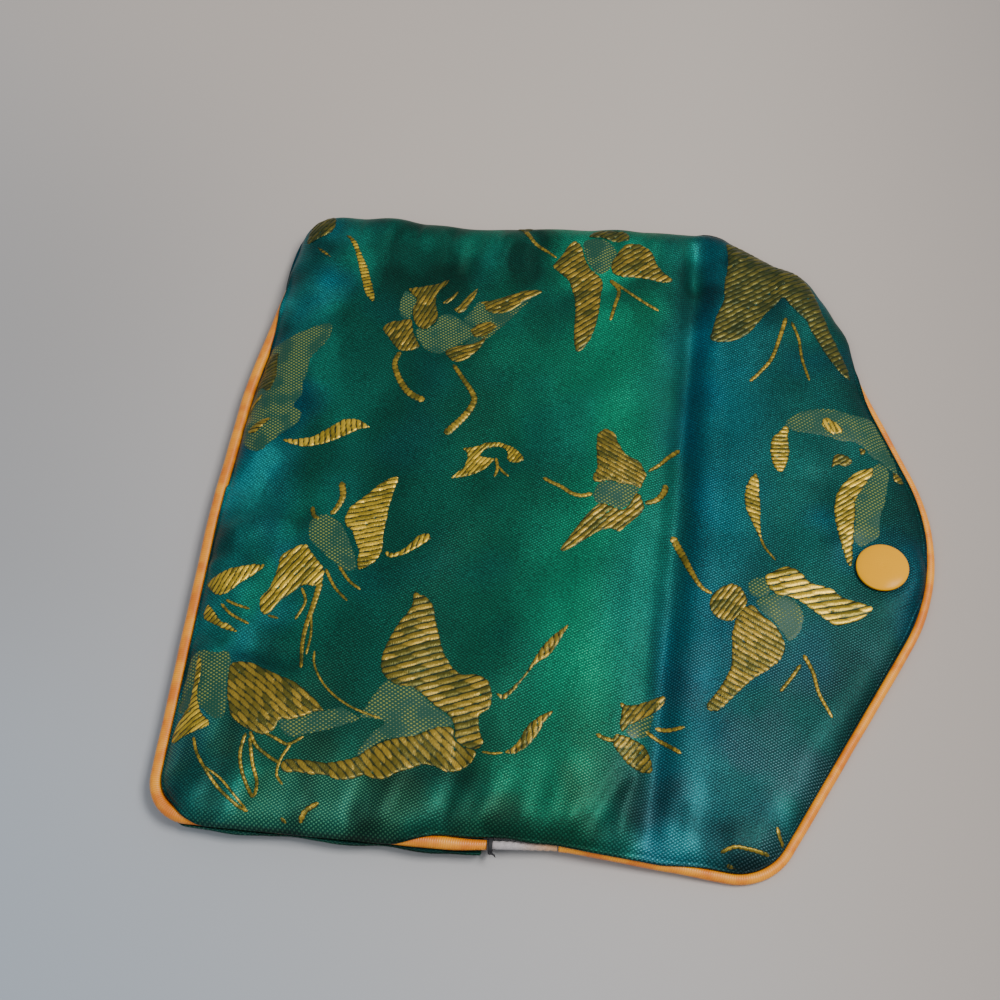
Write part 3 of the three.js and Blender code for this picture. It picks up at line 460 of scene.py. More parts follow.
# Thin gold lines: width at the start, width at the end, points
GOLD_LINES = {
    "a_leg_a": (1.4, 2.0, [(38, 123.5), (37.3, 120), (38.5, 116.5), (41, 112.5), (43.5, 110.3), (46.5, 109)]),
    "a_leg_b": (1.1, 2.2, [(52, 120.5), (55, 116.5), (58, 112.5), (58.5, 110), (57, 106), (53, 100)]),
    "c_antenna_a": (1.2, 0.9, [(88, 151.5), (90.5, 148), (90, 143), (89.3, 138)]),
    "c_antenna_b": (0.9, 0.9, [(88, 151.5), (92, 148.5), (96, 145.8), (101, 143)]),
    "c_feeler": (1.6, 0.6, [(64, 166.5), (67, 162.5), (70, 160), (73.5, 157.5)]),
    "d_leg_a": (1.2, 1.0, [(133, 146), (132, 141), (130, 133), (127, 128), (125, 125.5)]),
    "d_leg_b": (0.9, 0.8, [(134.5, 145), (136.5, 140), (137.5, 134), (139.5, 127.5)]),
    "e_leg_a": (0.9, 0.8, [(66, 95), (66.8, 92), (66.4, 89.3)]),
    "e_leg_b": (0.7, 0.7, [(67, 92.5), (68.3, 91), (69.8, 89.8)]),
    "f_feeler": (1.0, 1.2, [(78, 90), (80, 89), (82.5, 88), (85, 86.5), (87.5, 86), (90, 86.8)]),
    "f_antenna_a": (0.9, 1.1, [(102.5, 95), (105, 97.5), (107, 100.5), (109.3, 103.7)]),
    "f_antenna_b": (1.3, 1.6, [(102.5, 86), (105, 87.5), (106.5, 90), (107, 92.5)]),
    "h_stem": (0.8, 0.6, [(129.8, 81), (131, 78.5), (133.5, 75.5)]),
    "i_antenna": (2.0, 1.0, [(109.5, 79.5), (112, 75), (114.5, 70), (117, 66.3), (119.5, 65)]),
    "i_leg_a": (1.0, 0.9, [(140.2, 50), (138.3, 46.5), (136, 42.8)]),
    "i_leg_b": (1.1, 0.8, [(140.8, 52.5), (143, 48.5), (144.5, 43.5), (147.5, 38.2)]),
    "j_feeler_a": (1.8, 1.4, [(30.5, 84), (31.5, 80), (30.5, 76.5), (29.5, 75)]),
    "j_feeler_b": (1.3, 1.0, [(24.5, 77), (25.5, 74.5), (27, 73.5)]),
    "j_tail_a": (1.6, 0.9, [(30.5, 57), (30, 51), (29.3, 45), (29.5, 40), (30.3, 35)]),
    "j_tail_b": (0.7, 0.7, [(29.5, 50), (30.8, 44), (30.8, 38.5)]),
    "j_tail_c": (0.8, 0.8, [(26.5, 55), (28, 51.5), (26.5, 47)]),
    "j_tail_d": (0.9, 0.7, [(31, 60.5), (34, 56), (37.5, 52.8)]),
    "j_tail_e": (0.9, 0.7, [(34, 61.5), (37, 58), (40, 56)]),
    "j_tail_f": (0.8, 0.7, [(20, 47.5), (22.5, 47)]),
    "k_leg_a": (0.8, 0.7, [(9.5, 50.5), (12, 49.5), (15.5, 48.7)]),
    "k_leg_b": (0.8, 0.7, [(8.5, 49.5), (11.5, 47), (16, 45)]),
    "l_stem": (0.7, 0.6, [(73, 20), (75.4, 19.8), (77.5, 20.2)]),
    "m_arc": (0.6, 0.6, [(32.5, 39.5), (33, 36.5), (35, 33), (38, 30), (42, 27.5), (46, 26), (50, 25)]),
    "m_leg_a": (0.9, 0.8, [(22, 19), (24, 16), (27, 14), (30, 12.5)]),
    "m_leg_b": (0.8, 0.8, [(25.5, 19), (28, 18), (31, 17), (34, 19)]),
    "m_leg_c": (0.8, 0.7, [(31.5, 17), (30, 13.5), (29.8, 10), (31.5, 7.8)]),
    "m_loop": (0.9, 0.9, [
        (21.2, 18.5), (20.9, 14), (22.3, 9.5), (25.5, 4.7), (25.8, 7.8), (24, 12), (22.3, 17.5)
    ]),
    "m_stem_a": (0.8, 0.8, [(9.8, 16.5), (11.5, 12.8), (14.5, 9), (18, 5.5), (22, 2.8), (25, 1.5)]),
    "m_stem_b": (0.6, 0.6, [(13.5, 10), (17.5, 8), (21, 5), (24.5, 2)]),
    "n_feeler": (1.1, 1.1, [(97, 26.8), (99, 26), (101, 25.8)]),
    "n_antenna_a": (1.2, 1.0, [(109.5, 31), (113, 30.8), (115.8, 31.5)]),
    "n_antenna_b": (1.1, 1.0, [(107.5, 29.5), (111, 28), (115.5, 25.3)]),
    "tip_sprig_a": (0.9, 0.9, [(125.3, 5), (128, 6.2), (131, 6.3), (135.5, 6)]),
    "tip_sprig_b": (1.0, 0.9, [(136.8, 12), (137.5, 10), (139, 7.8)]),
    "edge_sprig_a": (1.3, 1.1, [(36.5, 0.5), (37.5, 2.8), (40, 4.7)]),
    "edge_sprig_b": (0.8, 0.8, [(32.3, 1), (33.5, 0.2)]),
}


def smooth(value, low, high):
    t = np.clip((np.asarray(value, float) - low) / (high - low), 0.0, 1.0)
    return t * t * (3 - 2 * t)


def lerp(a, b, t):
    return a + (b - a) * t


def length_at(along):
    return np.where(along <= 1, along * BODY_LENGTH, BODY_LENGTH + (along - 1) * FLAP_LENGTH)


def along_at(x):
    return np.where(x <= BODY_LENGTH, x / BODY_LENGTH, 1 + (x - BODY_LENGTH) / FLAP_LENGTH)


def plan_point(along, across):
    return np.array([float(length_at(along)), across * PURSE_WIDTH])


def hump(away):
    """1 in the middle, easing to 0 from where away is 1."""
    return (1 - np.minimum(away, 1) ** 2) ** 2


def table_at(rows, along):
    """Eased value of a table of (along, share) rows."""
    along = np.asarray(along, float)
    value = np.full(along.shape, float(rows[0][1]))
    for (a0, s0), (a1, s1) in zip(rows, rows[1:]):
        value = np.where(along > a0, lerp(s0, s1, smooth(along, a0, a1)), value)
    return value


def rounded_polygon(corners, arc_step, line_step):
    """Points of the rounded seam line, anticlockwise, and where each corner's arc starts and ends."""
    names = list(corners)
    vertex = [plan_point(*corners[name][:2]) for name in names]
    points, marks = [], {}

    def line(a, b):
        count = max(1, round(float(np.linalg.norm(b - a)) / line_step))
        points.extend(a + (b - a) * k / count for k in range(1, count))

    for i, name in enumerate(names):
        here, radius = vertex[i], corners[name][2]
        back = vertex[i - 1] - here
        ahead = vertex[(i + 1) % len(names)] - here
        back, ahead = back / np.linalg.norm(back), ahead / np.linalg.norm(ahead)
        half = math.acos(max(-1.0, min(1.0, float(back @ ahead)))) / 2
        middle = (back + ahead) / np.linalg.norm(back + ahead)
        centre = here + middle * radius / math.sin(half)
        start = here + back * radius / math.tan(half)
        first = math.atan2(*(start - centre)[::-1])
        run, toward = here - start, centre - start
        turn = math.copysign(math.pi - 2 * half, run[0] * toward[1] - run[1] * toward[0])
        if points:
            line(points[-1], start)
        steps = 2 * max(1, round(abs(turn) * radius / arc_step / 2))
        marks[name] = (len(points), len(points) + steps // 2, len(points) + steps)
        for k in range(steps + 1):
            angle = first + turn * k / steps
            points.append(centre + radius * np.array([math.cos(angle), math.sin(angle)]))
    line(points[-1], points[0])
    return np.array(points), marks


# So many points are compared with an outline at a time
CHUNK = 3000
SEAM, MARKS = rounded_polygon(CORNERS, ARC_STEP, LINE_STEP)
seam_ahead = np.roll(SEAM, -1, 0) - np.roll(SEAM, 1, 0)
seam_ahead /= np.linalg.norm(seam_ahead, axis=1)[:, None]
SEAM_OUT = np.stack([seam_ahead[:, 1], -seam_ahead[:, 0]], 1)


def nearest_on(outline, points):
    """Nearest point of a closed outline, and the signed distance, positive inside."""
    after = np.roll(outline, -1, 0)
    edge = after - outline
    squared = np.maximum(1e-12, (edge ** 2).sum(1))
    low, high = outline[:, 1][None], after[:, 1][None]
    rise_of_edge = np.where(high == low, 1e-12, high - low)
    near, away, inside = np.empty_like(points), np.empty(len(points)), np.zeros(len(points), bool)
    for start in range(0, len(points), CHUNK):
        part = slice(start, start + CHUNK)
        some = points[part, None]
        t = np.clip(((some - outline) * edge).sum(2) / squared, 0, 1)
        spot = outline + t[..., None] * edge
        gaps = np.linalg.norm(some - spot, axis=2)
        best = gaps.argmin(1)
        pick = np.arange(len(best))
        near[part], away[part] = spot[pick, best], gaps[pick, best]
        x, y = some[..., 0], some[..., 1]
        crossing = outline[:, 0] + (y - low) / rise_of_edge * edge[:, 0]
        inside[part] = (((low > y) != (high > y)) & (x < crossing)).sum(1) % 2 == 1
    return near, np.where(inside, away, -away)


def inside_by(x, y):
    """Distance of plan points from the seam line, positive inside it."""
    points = np.stack([np.ravel(x), np.ravel(y)], 1)
    return nearest_on(SEAM, points)[1].reshape(np.shape(x))


def wander_of(table, x, y):
    total = np.zeros(np.shape(x))
    for along, across, reach, amount in table.values():
        centre = plan_point(along, across)
        total += amount * hump(np.hypot(x - centre[0], y - centre[1]) / reach)
    return total


def lip_at(lip, x, y):
    """How far a panel's edge reaches out past the seam line; at least to the piping's inner side."""
    near_lip, wander = lip
    along, across = along_at(x), y / PURSE_WIDTH
    # the far edge turns from open to rolled within a share of the width, more slowly at the corner
    turn = table_at(FAR_LIP, along)
    before = lerp(0.13, 0.07, smooth(along, 0.05, 0.3))
    far = lerp(table_at(EDGE_LIP, along), ROLLED_LIP, smooth(across - turn, -before, 0.07))
    reach = CLEAR * np.where(across < 0.5, table_at(near_lip, along), far)
    return np.maximum(-CLEAR, reach + wander_of(wander, x, y))


def piping_radius_at(along):
    return PIPING_RADIUS * lerp(1, FLAP_PIPING, smooth(along, 0.8, 1.15))


def seam_at(along):
    return lerp(PIPING_RADIUS * FLAP_PIPING, SEAM_HEIGHT, table_at(SEAM_LIFT, along))


def rise(from_edge):
    roll = np.clip(from_edge / ROLL_WIDTH, 0, 1)
    dome = np.clip(from_edge / DOME_WIDTH, 0, 1)
    return lerp(np.sqrt(roll * (2 - roll)), np.sqrt(dome * (2 - dome)), DOME_SHARE)


def over_piping(inside, along):
    radius = piping_radius_at(along) + SEAM_GAP / 2
    circle = np.sqrt(np.maximum(0, radius ** 2 - inside ** 2))
    return np.where(inside < 0, circle, np.maximum(0, radius * (1 - inside / (3 * radius))))


def seat_off(lip, x, y, inside, base):
    reach = lip_at(lip, x, y) / CLEAR
    covering = np.maximum(base, over_piping(inside, along_at(x)))
    return lerp(base, covering, smooth(reach, -1.04, -0.92))


def crown_at(along):
    body = BODY_HEIGHT * table_at(BODY_CROWN, along)
    flap = FLAP_HEIGHT * table_at(FLAP_CROWN, along)
    return lerp(body, flap, smooth(along, 0.94, 1.06))


def beside(start, end, x, y):
    """How plan points lie by a line: share along it, distance from it, distance sideways, and its length."""
    a = plan_point(*start)
    run = plan_point(*end) - a
    length = np.linalg.norm(run)
    ox, oy = x - a[0], y - a[1]
    t = np.clip((ox * run[0] + oy * run[1]) / (run @ run), 0, 1)
    return t, np.hypot(ox - t * run[0], oy - t * run[1]), (ox * run[1] - oy * run[0]) / length, length


def folds_at(x, y):
    total = np.zeros(np.shape(x))
    for start, end, reach, lift in FOLDS.values():
        away = beside(start, end, x, y)[1] / (reach * PURSE_WIDTH)
        total += lift * BODY_HEIGHT * hump(away)
    return total


def gathers_at(x, y):
    """Lift of the gathers: full at the seam, bent a little, wider and lower inwards."""
    total = np.zeros(np.shape(x))
    for start, end, reach, lift in CREASES.values():
        t, distance, side, length = beside(start, end, x, y)
        side = side + GATHER_BEND * length * np.sin(3.0 * t + 40 * start[0])
        beyond = np.maximum(0, distance ** 2 - side ** 2)
        away = np.sqrt(side ** 2 + beyond) / (reach * PURSE_WIDTH * lerp(0.7, 1.3, t))
        total += GATHER_LIFT * lift * BODY_HEIGHT * hump(away) * (1 - t) ** 1.3
    return total


STUD = np.array([SEAM[:, 0].max() - STUD_SETBACK, CORNERS["tip"][1] * PURSE_WIDTH - STUD_OFFSET])
SOCKET = np.array([2 * BODY_LENGTH - STUD[0], STUD[1]])
STUD_SEAT = STUD_DROP + RING_THICKNESS + 2 * SEAM_GAP + PRESSED_WALL


def pressed_at(x, y, centre):
    return 1 - smooth(np.hypot(x - centre[0], y - centre[1]), CAP_RADIUS * 1.1, CAP_RADIUS * 2.1)


def back_seat(x, y, inside):
    along = along_at(x)
    base = lerp(SEAM_GAP / 2, -EDGE_THICKNESS / 2, smooth(along, 0.7, 1))
    return seam_at(along) + seat_off(BACK_LIP, x, y, inside, base)


def ripple(x, y):
    """Slight unevenness of the padding, in millimetres."""
    rng = np.random.default_rng(7)
    total = np.zeros(np.shape(x))
    waves = (38.0, 31.0, 25.0, 20.0, 16.0, 12.0, 8.0)
    for wave in waves:
        angle, phase = rng.uniform(0, math.pi), rng.uniform(0, 2 * math.pi)
        along = x * math.cos(angle) + y * math.sin(angle)
        total += wave / waves[0] * np.sin(along * 2 * math.pi / wave + phase)
    return RIPPLE * total


def back_top(x, y, inside):
    along = along_at(x)
    rim = seam_at(along) + EDGE_THICKNESS / 2
    dome = rise(inside + lip_at(BACK_LIP, x, y))
    fade = smooth(inside, -CLEAR, ROLL_WIDTH)
    detail = gathers_at(x, y) * smooth(inside, -CLEAR, GATHER_WIDTH) + ripple(x, y) * fade
    free = rim + (crown_at(along) - rim) * dome + folds_at(x, y) * fade + detail
    top = lerp(free, STUD_SEAT, pressed_at(x, y, STUD))
    return np.maximum(top, back_seat(x, y, inside) + EDGE_THICKNESS)


def free_at(inside):
    """0 where a panel's inner face is sewn down by the seam, 1 where it lies free."""
    return smooth(inside, CLEAR + SEWN_WIDTH, ROLL_WIDTH + HANG_WIDTH)


def back_under(x, y, inside):
    thickness = lerp(WALL, PRESSED_WALL, pressed_at(x, y, STUD))
    hanging = back_top(x, y, inside) - thickness
    return lerp(back_seat(x, y, inside), hanging, free_at(inside))


def front_seat(x, y, inside):
    return seam_at(along_at(x)) - seat_off(FRONT_LIP, x, y, inside, SEAM_GAP / 2)


def front_outer(x, y, inside):
    rim = seam_at(along_at(x)) - EDGE_THICKNESS * 1.3
    roll = np.clip((inside + lip_at(FRONT_LIP, x, y)) / ROLL_WIDTH, 0, 1)
    free = rim * (1 - np.sqrt(roll * (2 - roll)))
    outer = lerp(free, SOCKET_DEPTH + SEAM_GAP, pressed_at(x, y, SOCKET))
    return np.minimum(outer, front_seat(x, y, inside) - EDGE_THICKNESS)


# The front's cloth lies FRONT_LIFT above the table, so that its figures fit under it. Some of the back's
# figures come again there, turned half round: a point and its copy add up to FRONT_TURN. Their names start
# with these letters.
FRONT_TURN = np.array([79.0, 171.0])
FRONT_FIGURES = "abejklm"


def front_face(x, y, inside):
    return front_outer(x, y, inside) + FRONT_LIFT


def front_inner(x, y, inside):
    thickness = lerp(WALL, PRESSED_WALL, pressed_at(x, y, SOCKET))
    lying = front_outer(x, y, inside) + thickness
    return lerp(front_seat(x, y, inside), lying, free_at(inside))


# Plan to frame: the press stud's cap is where the CAD has it.
cap_middle = np.mean(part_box("snap_cap"), axis=0) * 1000
SHIFT = np.array([*(cap_middle[:2] - STUD), 0.0])


def metres(points):
    return (np.asarray(points, float) + SHIFT) / 1000


# Mesh helpers
def add_piece(name, points, faces, materials, face_slots=None, attributes=None):
    """A smooth-shaded piece from plan points in millimetres, riding on the purse."""
    mesh = bpy.data.meshes.new(name)
    mesh.from_pydata(metres(points).tolist(), [], faces)
    for material in materials:
        mesh.materials.append(material)
    mesh.polygons.foreach_set("use_smooth", [True] * len(mesh.polygons))
    if face_slots is not None:
        mesh.polygons.foreach_set("material_index", np.asarray(face_slots, np.int32))
    for key, values in (attributes or {}).items():
        layer = mesh.attributes.new(key, "FLOAT_VECTOR", "POINT")
        layer.data.foreach_set("vector", np.asarray(values, np.float32).ravel())
    mesh.update()
    piece = bpy.data.objects.new(name, mesh)
    bpy.context.scene.collection.objects.link(piece)
    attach(piece, "root")
    return piece


def grid_faces(rows, columns, flip=False, offset=0):
    i, j = np.meshgrid(np.arange(rows - 1), np.arange(columns - 1), indexing="ij")
    a = (i * columns + j).ravel() + offset
    quads = np.stack([a, a + columns, a + columns + 1, a + 1], 1)
    return quads[:, ::-1] if flip else quads


def at_lengths(points, measure, values):
    return np.stack([np.interp(values, measure, points[:, k]) for k in range(2)], 1)


def lengths_of(points):
    return np.concatenate([[0], np.cumsum(np.linalg.norm(np.diff(points, axis=0), axis=1))])


def stations(length, step, fine_end=True):
    """Shares from 0 to 1: fine at the ends, even between."""
    ends = np.array([0, 0.25, 0.55, 0.9, 1.3, 1.75, 2.25, 2.8, 3.4])
    last = length - ends[-1] if fine_end else length
    middle = np.linspace(ends[-1], last, max(2, int(round((last - ends[-1]) / step)) + 1))
    tail = length - ends[::-1][1:] if fine_end else []
    return np.concatenate([ends[:-1], middle, tail]) / length


def panel_grid(lip, near, far, last, step, fine_end):
    """A panel's plan as a grid between its four sides, as in the solids but finer."""
    edge = SEAM + SEAM_OUT * lip_at(lip, SEAM[:, 0], SEAM[:, 1])[:, None]
    near, far = near(edge), far(edge)
    bottom = np.concatenate([edge[MARKS["far_bottom"][1]:], edge[:MARKS["near_bottom"][1] + 1]])[::-1]
    last = last(edge, near, far)
    us = stations(near[-1, 0] - near[0, 0], step, fine_end)
    vs = stations(PURSE_WIDTH, step)
    near_side = at_lengths(near, near[:, 0], lerp(near[0, 0], near[-1, 0], us))[:, None]
    far_side = at_lengths(far, far[:, 0], lerp(far[0, 0], far[-1, 0], us))[:, None]
    bottom_end = at_lengths(bottom, lengths_of(bottom), vs * lengths_of(bottom)[-1])[None]
    last_end = at_lengths(last, lengths_of(last), vs * lengths_of(last)[-1])[None]
    u, v = us[:, None, None], vs[None, :, None]
    sides = lerp(near_side, far_side, v) + lerp(bottom_end, last_end, u)
    corners = lerp(lerp(near[0], far[0], v), lerp(last[0], last[-1], v), u)
    return sides - corners


def before_mouth(points):
    keep = points[points[:, 0] < POCKET_DEPTH - 0.5]
    after = points[len(keep)]
    share = (POCKET_DEPTH - keep[-1, 0]) / (after[0] - keep[-1, 0])
    return np.concatenate([keep, [lerp(keep[-1], after, share)]])


def rising(points):
    """Only the points that go on in X, so that a side can be looked up by X."""
    keep = np.concatenate([[True], np.diff(np.maximum.accumulate(points[:, 0])) > 1e-6])
    return points[keep]


def panel_piece(name, grid, lip, upper, lower, materials, upper_is_out):
    """A closed padded panel. The first material is its outer cloth, the second its inner."""
    rows, columns = grid.shape[:2]
    x, y = grid[..., 0], grid[..., 1]
    inside = inside_by(x, y)
    top = np.dstack([x, y, upper(x, y, inside)]).reshape(-1, 3)
    bottom = np.dstack([x, y, lower(x, y, inside)]).reshape(-1, 3)
    count = rows * columns
    ring = [i * columns for i in range(rows)]
    ring += [(rows - 1) * columns + j for j in range(1, columns)]
    ring += [i * columns + columns - 1 for i in range(rows - 2, -1, -1)]
    ring += list(range(columns - 2, 0, -1))
    ring = np.array(ring)
    # two soft rows round the turned edge
    centre = top[ring][:, :2]
    tangent = np.roll(centre, -1, 0) - np.roll(centre, 1, 0)
    tangent /= np.maximum(1e-9, np.linalg.norm(tangent, axis=1))[:, None]
    outward = np.stack([tangent[:, 1], -tangent[:, 0]], 1)
    rims = []
    for share in (0.7, 0.3):
        z = lerp(bottom[ring][:, 2], top[ring][:, 2], share)
        rims.append(np.column_stack([centre + outward * RIM_BULGE, z]))
    points = np.concatenate([top, bottom, *rims])
    n = len(ring)
    first = 2 * count + np.arange(n)
    levels = [ring, first, first + n, ring + count]
    bands = [np.stack([a, b, np.roll(b, -1), np.roll(a, -1)], 1) for a, b in zip(levels, levels[1:])]
    up = grid_faces(rows, columns)
    down = grid_faces(rows, columns, flip=True, offset=count)
    rim = np.concatenate(bands)
    outer, inner = (up, down) if upper_is_out else (down, up)
    faces = np.concatenate([outer, rim, inner])
    slots = np.arange(len(faces)) >= len(outer) + len(rim)
    from_edge = (inside + lip_at(lip, x, y)).ravel()
    from_edge = np.concatenate([from_edge, from_edge, np.zeros(2 * n)])
    edge = np.stack([from_edge] * 3, 1)
    return add_piece(name, points, faces.tolist(), materials, slots, {"edge": edge})


def tube_faces(rows, sides):
    """Faces of a tube made of rings of points, with closed ends."""
    i, k = np.meshgrid(np.arange(rows - 1), np.arange(sides), indexing="ij")
    a, b = (i * sides + k).ravel(), (i * sides + (k + 1) % sides).ravel()
    faces = np.stack([a, b, b + sides, a + sides], 1).tolist()
    ends = [list(range(sides))[::-1], [(rows - 1) * sides + k for k in range(sides)]]
    return faces + ends


def sweep(name, path, radius_at, sides, material, sculpt):
    """A round cord along plan points with closed ends; sculpt(distance, angle) gives its relief."""
    ahead = np.gradient(path, axis=0)
    side = np.column_stack([ahead[:, 1], -ahead[:, 0], np.zeros(len(path))])
    side /= np.linalg.norm(side, axis=1)[:, None]
    up = np.cross(side, ahead / np.linalg.norm(ahead, axis=1)[:, None])
    distance = lengths_of(path)
    angle = np.arange(sides) * 2 * math.pi / sides
    radius = (radius_at(distance, path)[:, None] + sculpt(distance[:, None], angle[None]))[..., None]
    ring = side[:, None] * np.cos(angle)[None, :, None] - up[:, None] * np.sin(angle)[None, :, None]
    points = (path[:, None] + ring * radius).reshape(-1, 3)
    turns = np.column_stack([np.repeat(distance, sides), np.tile(angle, len(path)), np.zeros(len(points))])
    faces = tube_faces(len(path), sides)
    return add_piece(name, points, faces, [material], attributes={"run": turns})


def turned(name, profile, centre, material, sides=72):
    """A turned piece about a vertical axis; the profile goes round its section from the axis to the axis."""
    profile = np.array(profile)
    angle = np.arange(sides) * 2 * math.pi / sides
    body = profile[1:-1]
    ring = np.stack([np.cos(angle), np.sin(angle)], 1)
    points = [[centre[0], centre[1], profile[0, 1]], [centre[0], centre[1], profile[-1, 1]]]
    for radius, height in body:
        points += np.column_stack([centre + ring * radius, np.full(sides, height)]).tolist()
    faces = []
    k = np.arange(sides)
    nxt = (k + 1) % sides
    for row in range(len(body) - 1):
        a = 2 + row * sides
        faces += np.stack([a + k, a + nxt, a + sides + nxt, a + sides + k], 1).tolist()
    faces += [[0, 2 + int(b), 2 + int(a)] for a, b in zip(k, nxt)]
    top = 2 + (len(body) - 1) * sides
    faces += [[1, top + int(a), top + int(b)] for a, b in zip(k, nxt)]
    return add_piece(name, points, faces, [material])


def bevelled(profile, size=0.12):
    """The profile with its inner corners eased by two points each."""
    profile = [np.array(p, float) for p in profile]
    eased = [profile[0]]
    for before, here, after in zip(profile, profile[1:], profile[2:]):
        if here[0] < 1e-6:
            eased.append(here)
            continue
        a = here + (before - here) * min(0.45, size / max(1e-6, np.linalg.norm(before - here)))
        b = here + (after - here) * min(0.45, size / max(1e-6, np.linalg.norm(after - here)))
        eased += [a, here * 0.5 + (a + b) * 0.25, b]
    return eased + [profile[-1]]


# Finishes
def linear(red, green, blue):
    """A colour given as 0-255 display values."""
    shares = [value / 255 for value in (red, green, blue)]
    return [((c + 0.055) / 1.055) ** 2.4 if c > 10 / 255 else c / 12.92 for c in shares] + [1.0]


class Finish:
    """A procedural material whose textures follow plan millimetres."""

    def __init__(self, name, **values):
        self.material = bpy.data.materials.new(name)
        self.material.use_nodes = True
        self.tree = self.material.node_tree
        self.shader = self.tree.nodes["Principled BSDF"]
        for key, value in values.items():
            self.shader.inputs[key.replace("_", " ")].default_value = value
        place = self.node("ShaderNodeTexCoord").outputs["Object"]
        self.plan = self.vector("MULTIPLY_ADD", place, (1000, 1000, 1000), tuple(-SHIFT))
        self.x, self.y = self.node("ShaderNodeSeparateXYZ", self.plan).outputs[:2]

    def node(self, kind, *inputs, **settings):
        node = self.tree.nodes.new(kind)
        for key, value in settings.items():
            setattr(node, key, value)
        for socket, value in zip(node.inputs, inputs):
            self.feed(socket, value)
        return node

    def feed(self, socket, value):
        if isinstance(value, bpy.types.NodeSocket):
            self.tree.links.new(value, socket)
        elif value is not None:
            socket.default_value = value

    def vector(self, operation, *inputs):
        node = self.node("ShaderNodeVectorMath", *inputs, operation=operation)
        return node.outputs["Value" if operation == "DOT_PRODUCT" else "Vector"]

    def math(self, operation, *inputs):
        return self.node("ShaderNodeMath", *inputs, operation=operation).outputs[0]

    def times(self, a, b):
        return self.math("MULTIPLY", a, b)

    def larger(self, a, b):
        return self.math("MAXIMUM", a, b)

    def scaled(self, value, factor, start):
        return self.math("MULTIPLY_ADD", value, factor, start)

    def swing(self, turn):
        """0 to 1 and back, once in a full turn."""
        return self.scaled(self.math("SINE", turn), 0.5, 0.5)

    def wave(self, degrees, pitch):
        """0 to 1 and back, every pitch millimetres along a direction of the plan."""
        angle = math.radians(degrees)
        along = self.vector("DOT_PRODUCT", self.plan, (math.cos(angle), math.sin(angle), 0.0))
        return self.swing(self.scaled(along, 2 * math.pi / pitch, 0.0))

    def noise(self, size, detail=2.0, stretch=(1.0, 1.0, 1.0)):
        """Even noise of about that size in millimetres."""
        place = self.vector("MULTIPLY", self.plan, tuple(s / size for s in stretch))
        node = self.node("ShaderNodeTexNoise")
        self.feed(node.inputs["Vector"], place)
        node.inputs["Scale"].default_value = 1.0
        node.inputs["Detail"].default_value = detail
        return node.outputs["Fac"]

    def ramp(self, value, stops, ease="EASE"):
        node = self.node("ShaderNodeValToRGB", value)
        ramp = node.color_ramp
        ramp.interpolation = ease
        while len(ramp.elements) < len(stops):
            ramp.elements.new(0.5)
        for element, (place, colour) in zip(ramp.elements, stops):
            element.position = place
            element.color = colour if isinstance(colour, list) else [colour] * 3 + [1.0]
        return node.outputs["Color"]

    def mix(self, share, a, b, blend="MIX"):
        node = self.node("ShaderNodeMix", data_type="RGBA", blend_type=blend)
        self.feed(node.inputs[0], share)
        self.feed(node.inputs[6], a)
        self.feed(node.inputs[7], b)
        return node.outputs[2]

    def shaded(self, colour, by, share=1.0):
        return self.mix(share, colour, by, "MULTIPLY")

    def grow(self, value, low, high, start=0.0, end=1.0):
        node = self.node("ShaderNodeMapRange", value, low, high, start, end, interpolation_type="SMOOTHSTEP")
        return node.outputs[0]

    def bump(self, height, distance):
        """Relief of that many millimetres."""
        node = self.node("ShaderNodeBump")
        node.inputs["Strength"].default_value = 1.0
        node.inputs["Distance"].default_value = distance / 1000
        self.feed(node.inputs["Height"], height)
        self.feed(self.shader.inputs["Normal"], node.outputs["Normal"])

    def attribute(self, name):
        """The three values of a point attribute."""
        vector = self.node("ShaderNodeAttribute", attribute_name=name).outputs["Vector"]
        return self.node("ShaderNodeSeparateXYZ", vector).outputs

    def colour(self, value):
        self.feed(self.shader.inputs["Base Color"], value)


# The satin's green from the bottom seam to the flap's tip, with painted light and shade in it: a painted
# highlight on the rolled left edge (0.0), painted shade in the hollow of the middle (0.27), a painted
# highlight band on the slope before the fold (0.53), painted shade in the fold's crease (0.625), a lighter
# ridge after it (0.67), and darker towards the flap's tip
GREENS_WITH_PAINTED_LIGHT = [
    (0.0, (5, 100, 106)), (0.05, (4, 98, 94)), (0.12, (3, 84, 69)), (0.27, (2, 70, 56)), (0.42, (3, 84, 64)),
    (0.53, (3, 112, 83)), (0.59, (4, 94, 80)), (0.625, (4, 72, 80)), (0.67, (8, 84, 88)), (0.78, (5, 78, 72)),
    (0.9, (3, 58, 52)), (1.0, (3, 48, 43)),
]


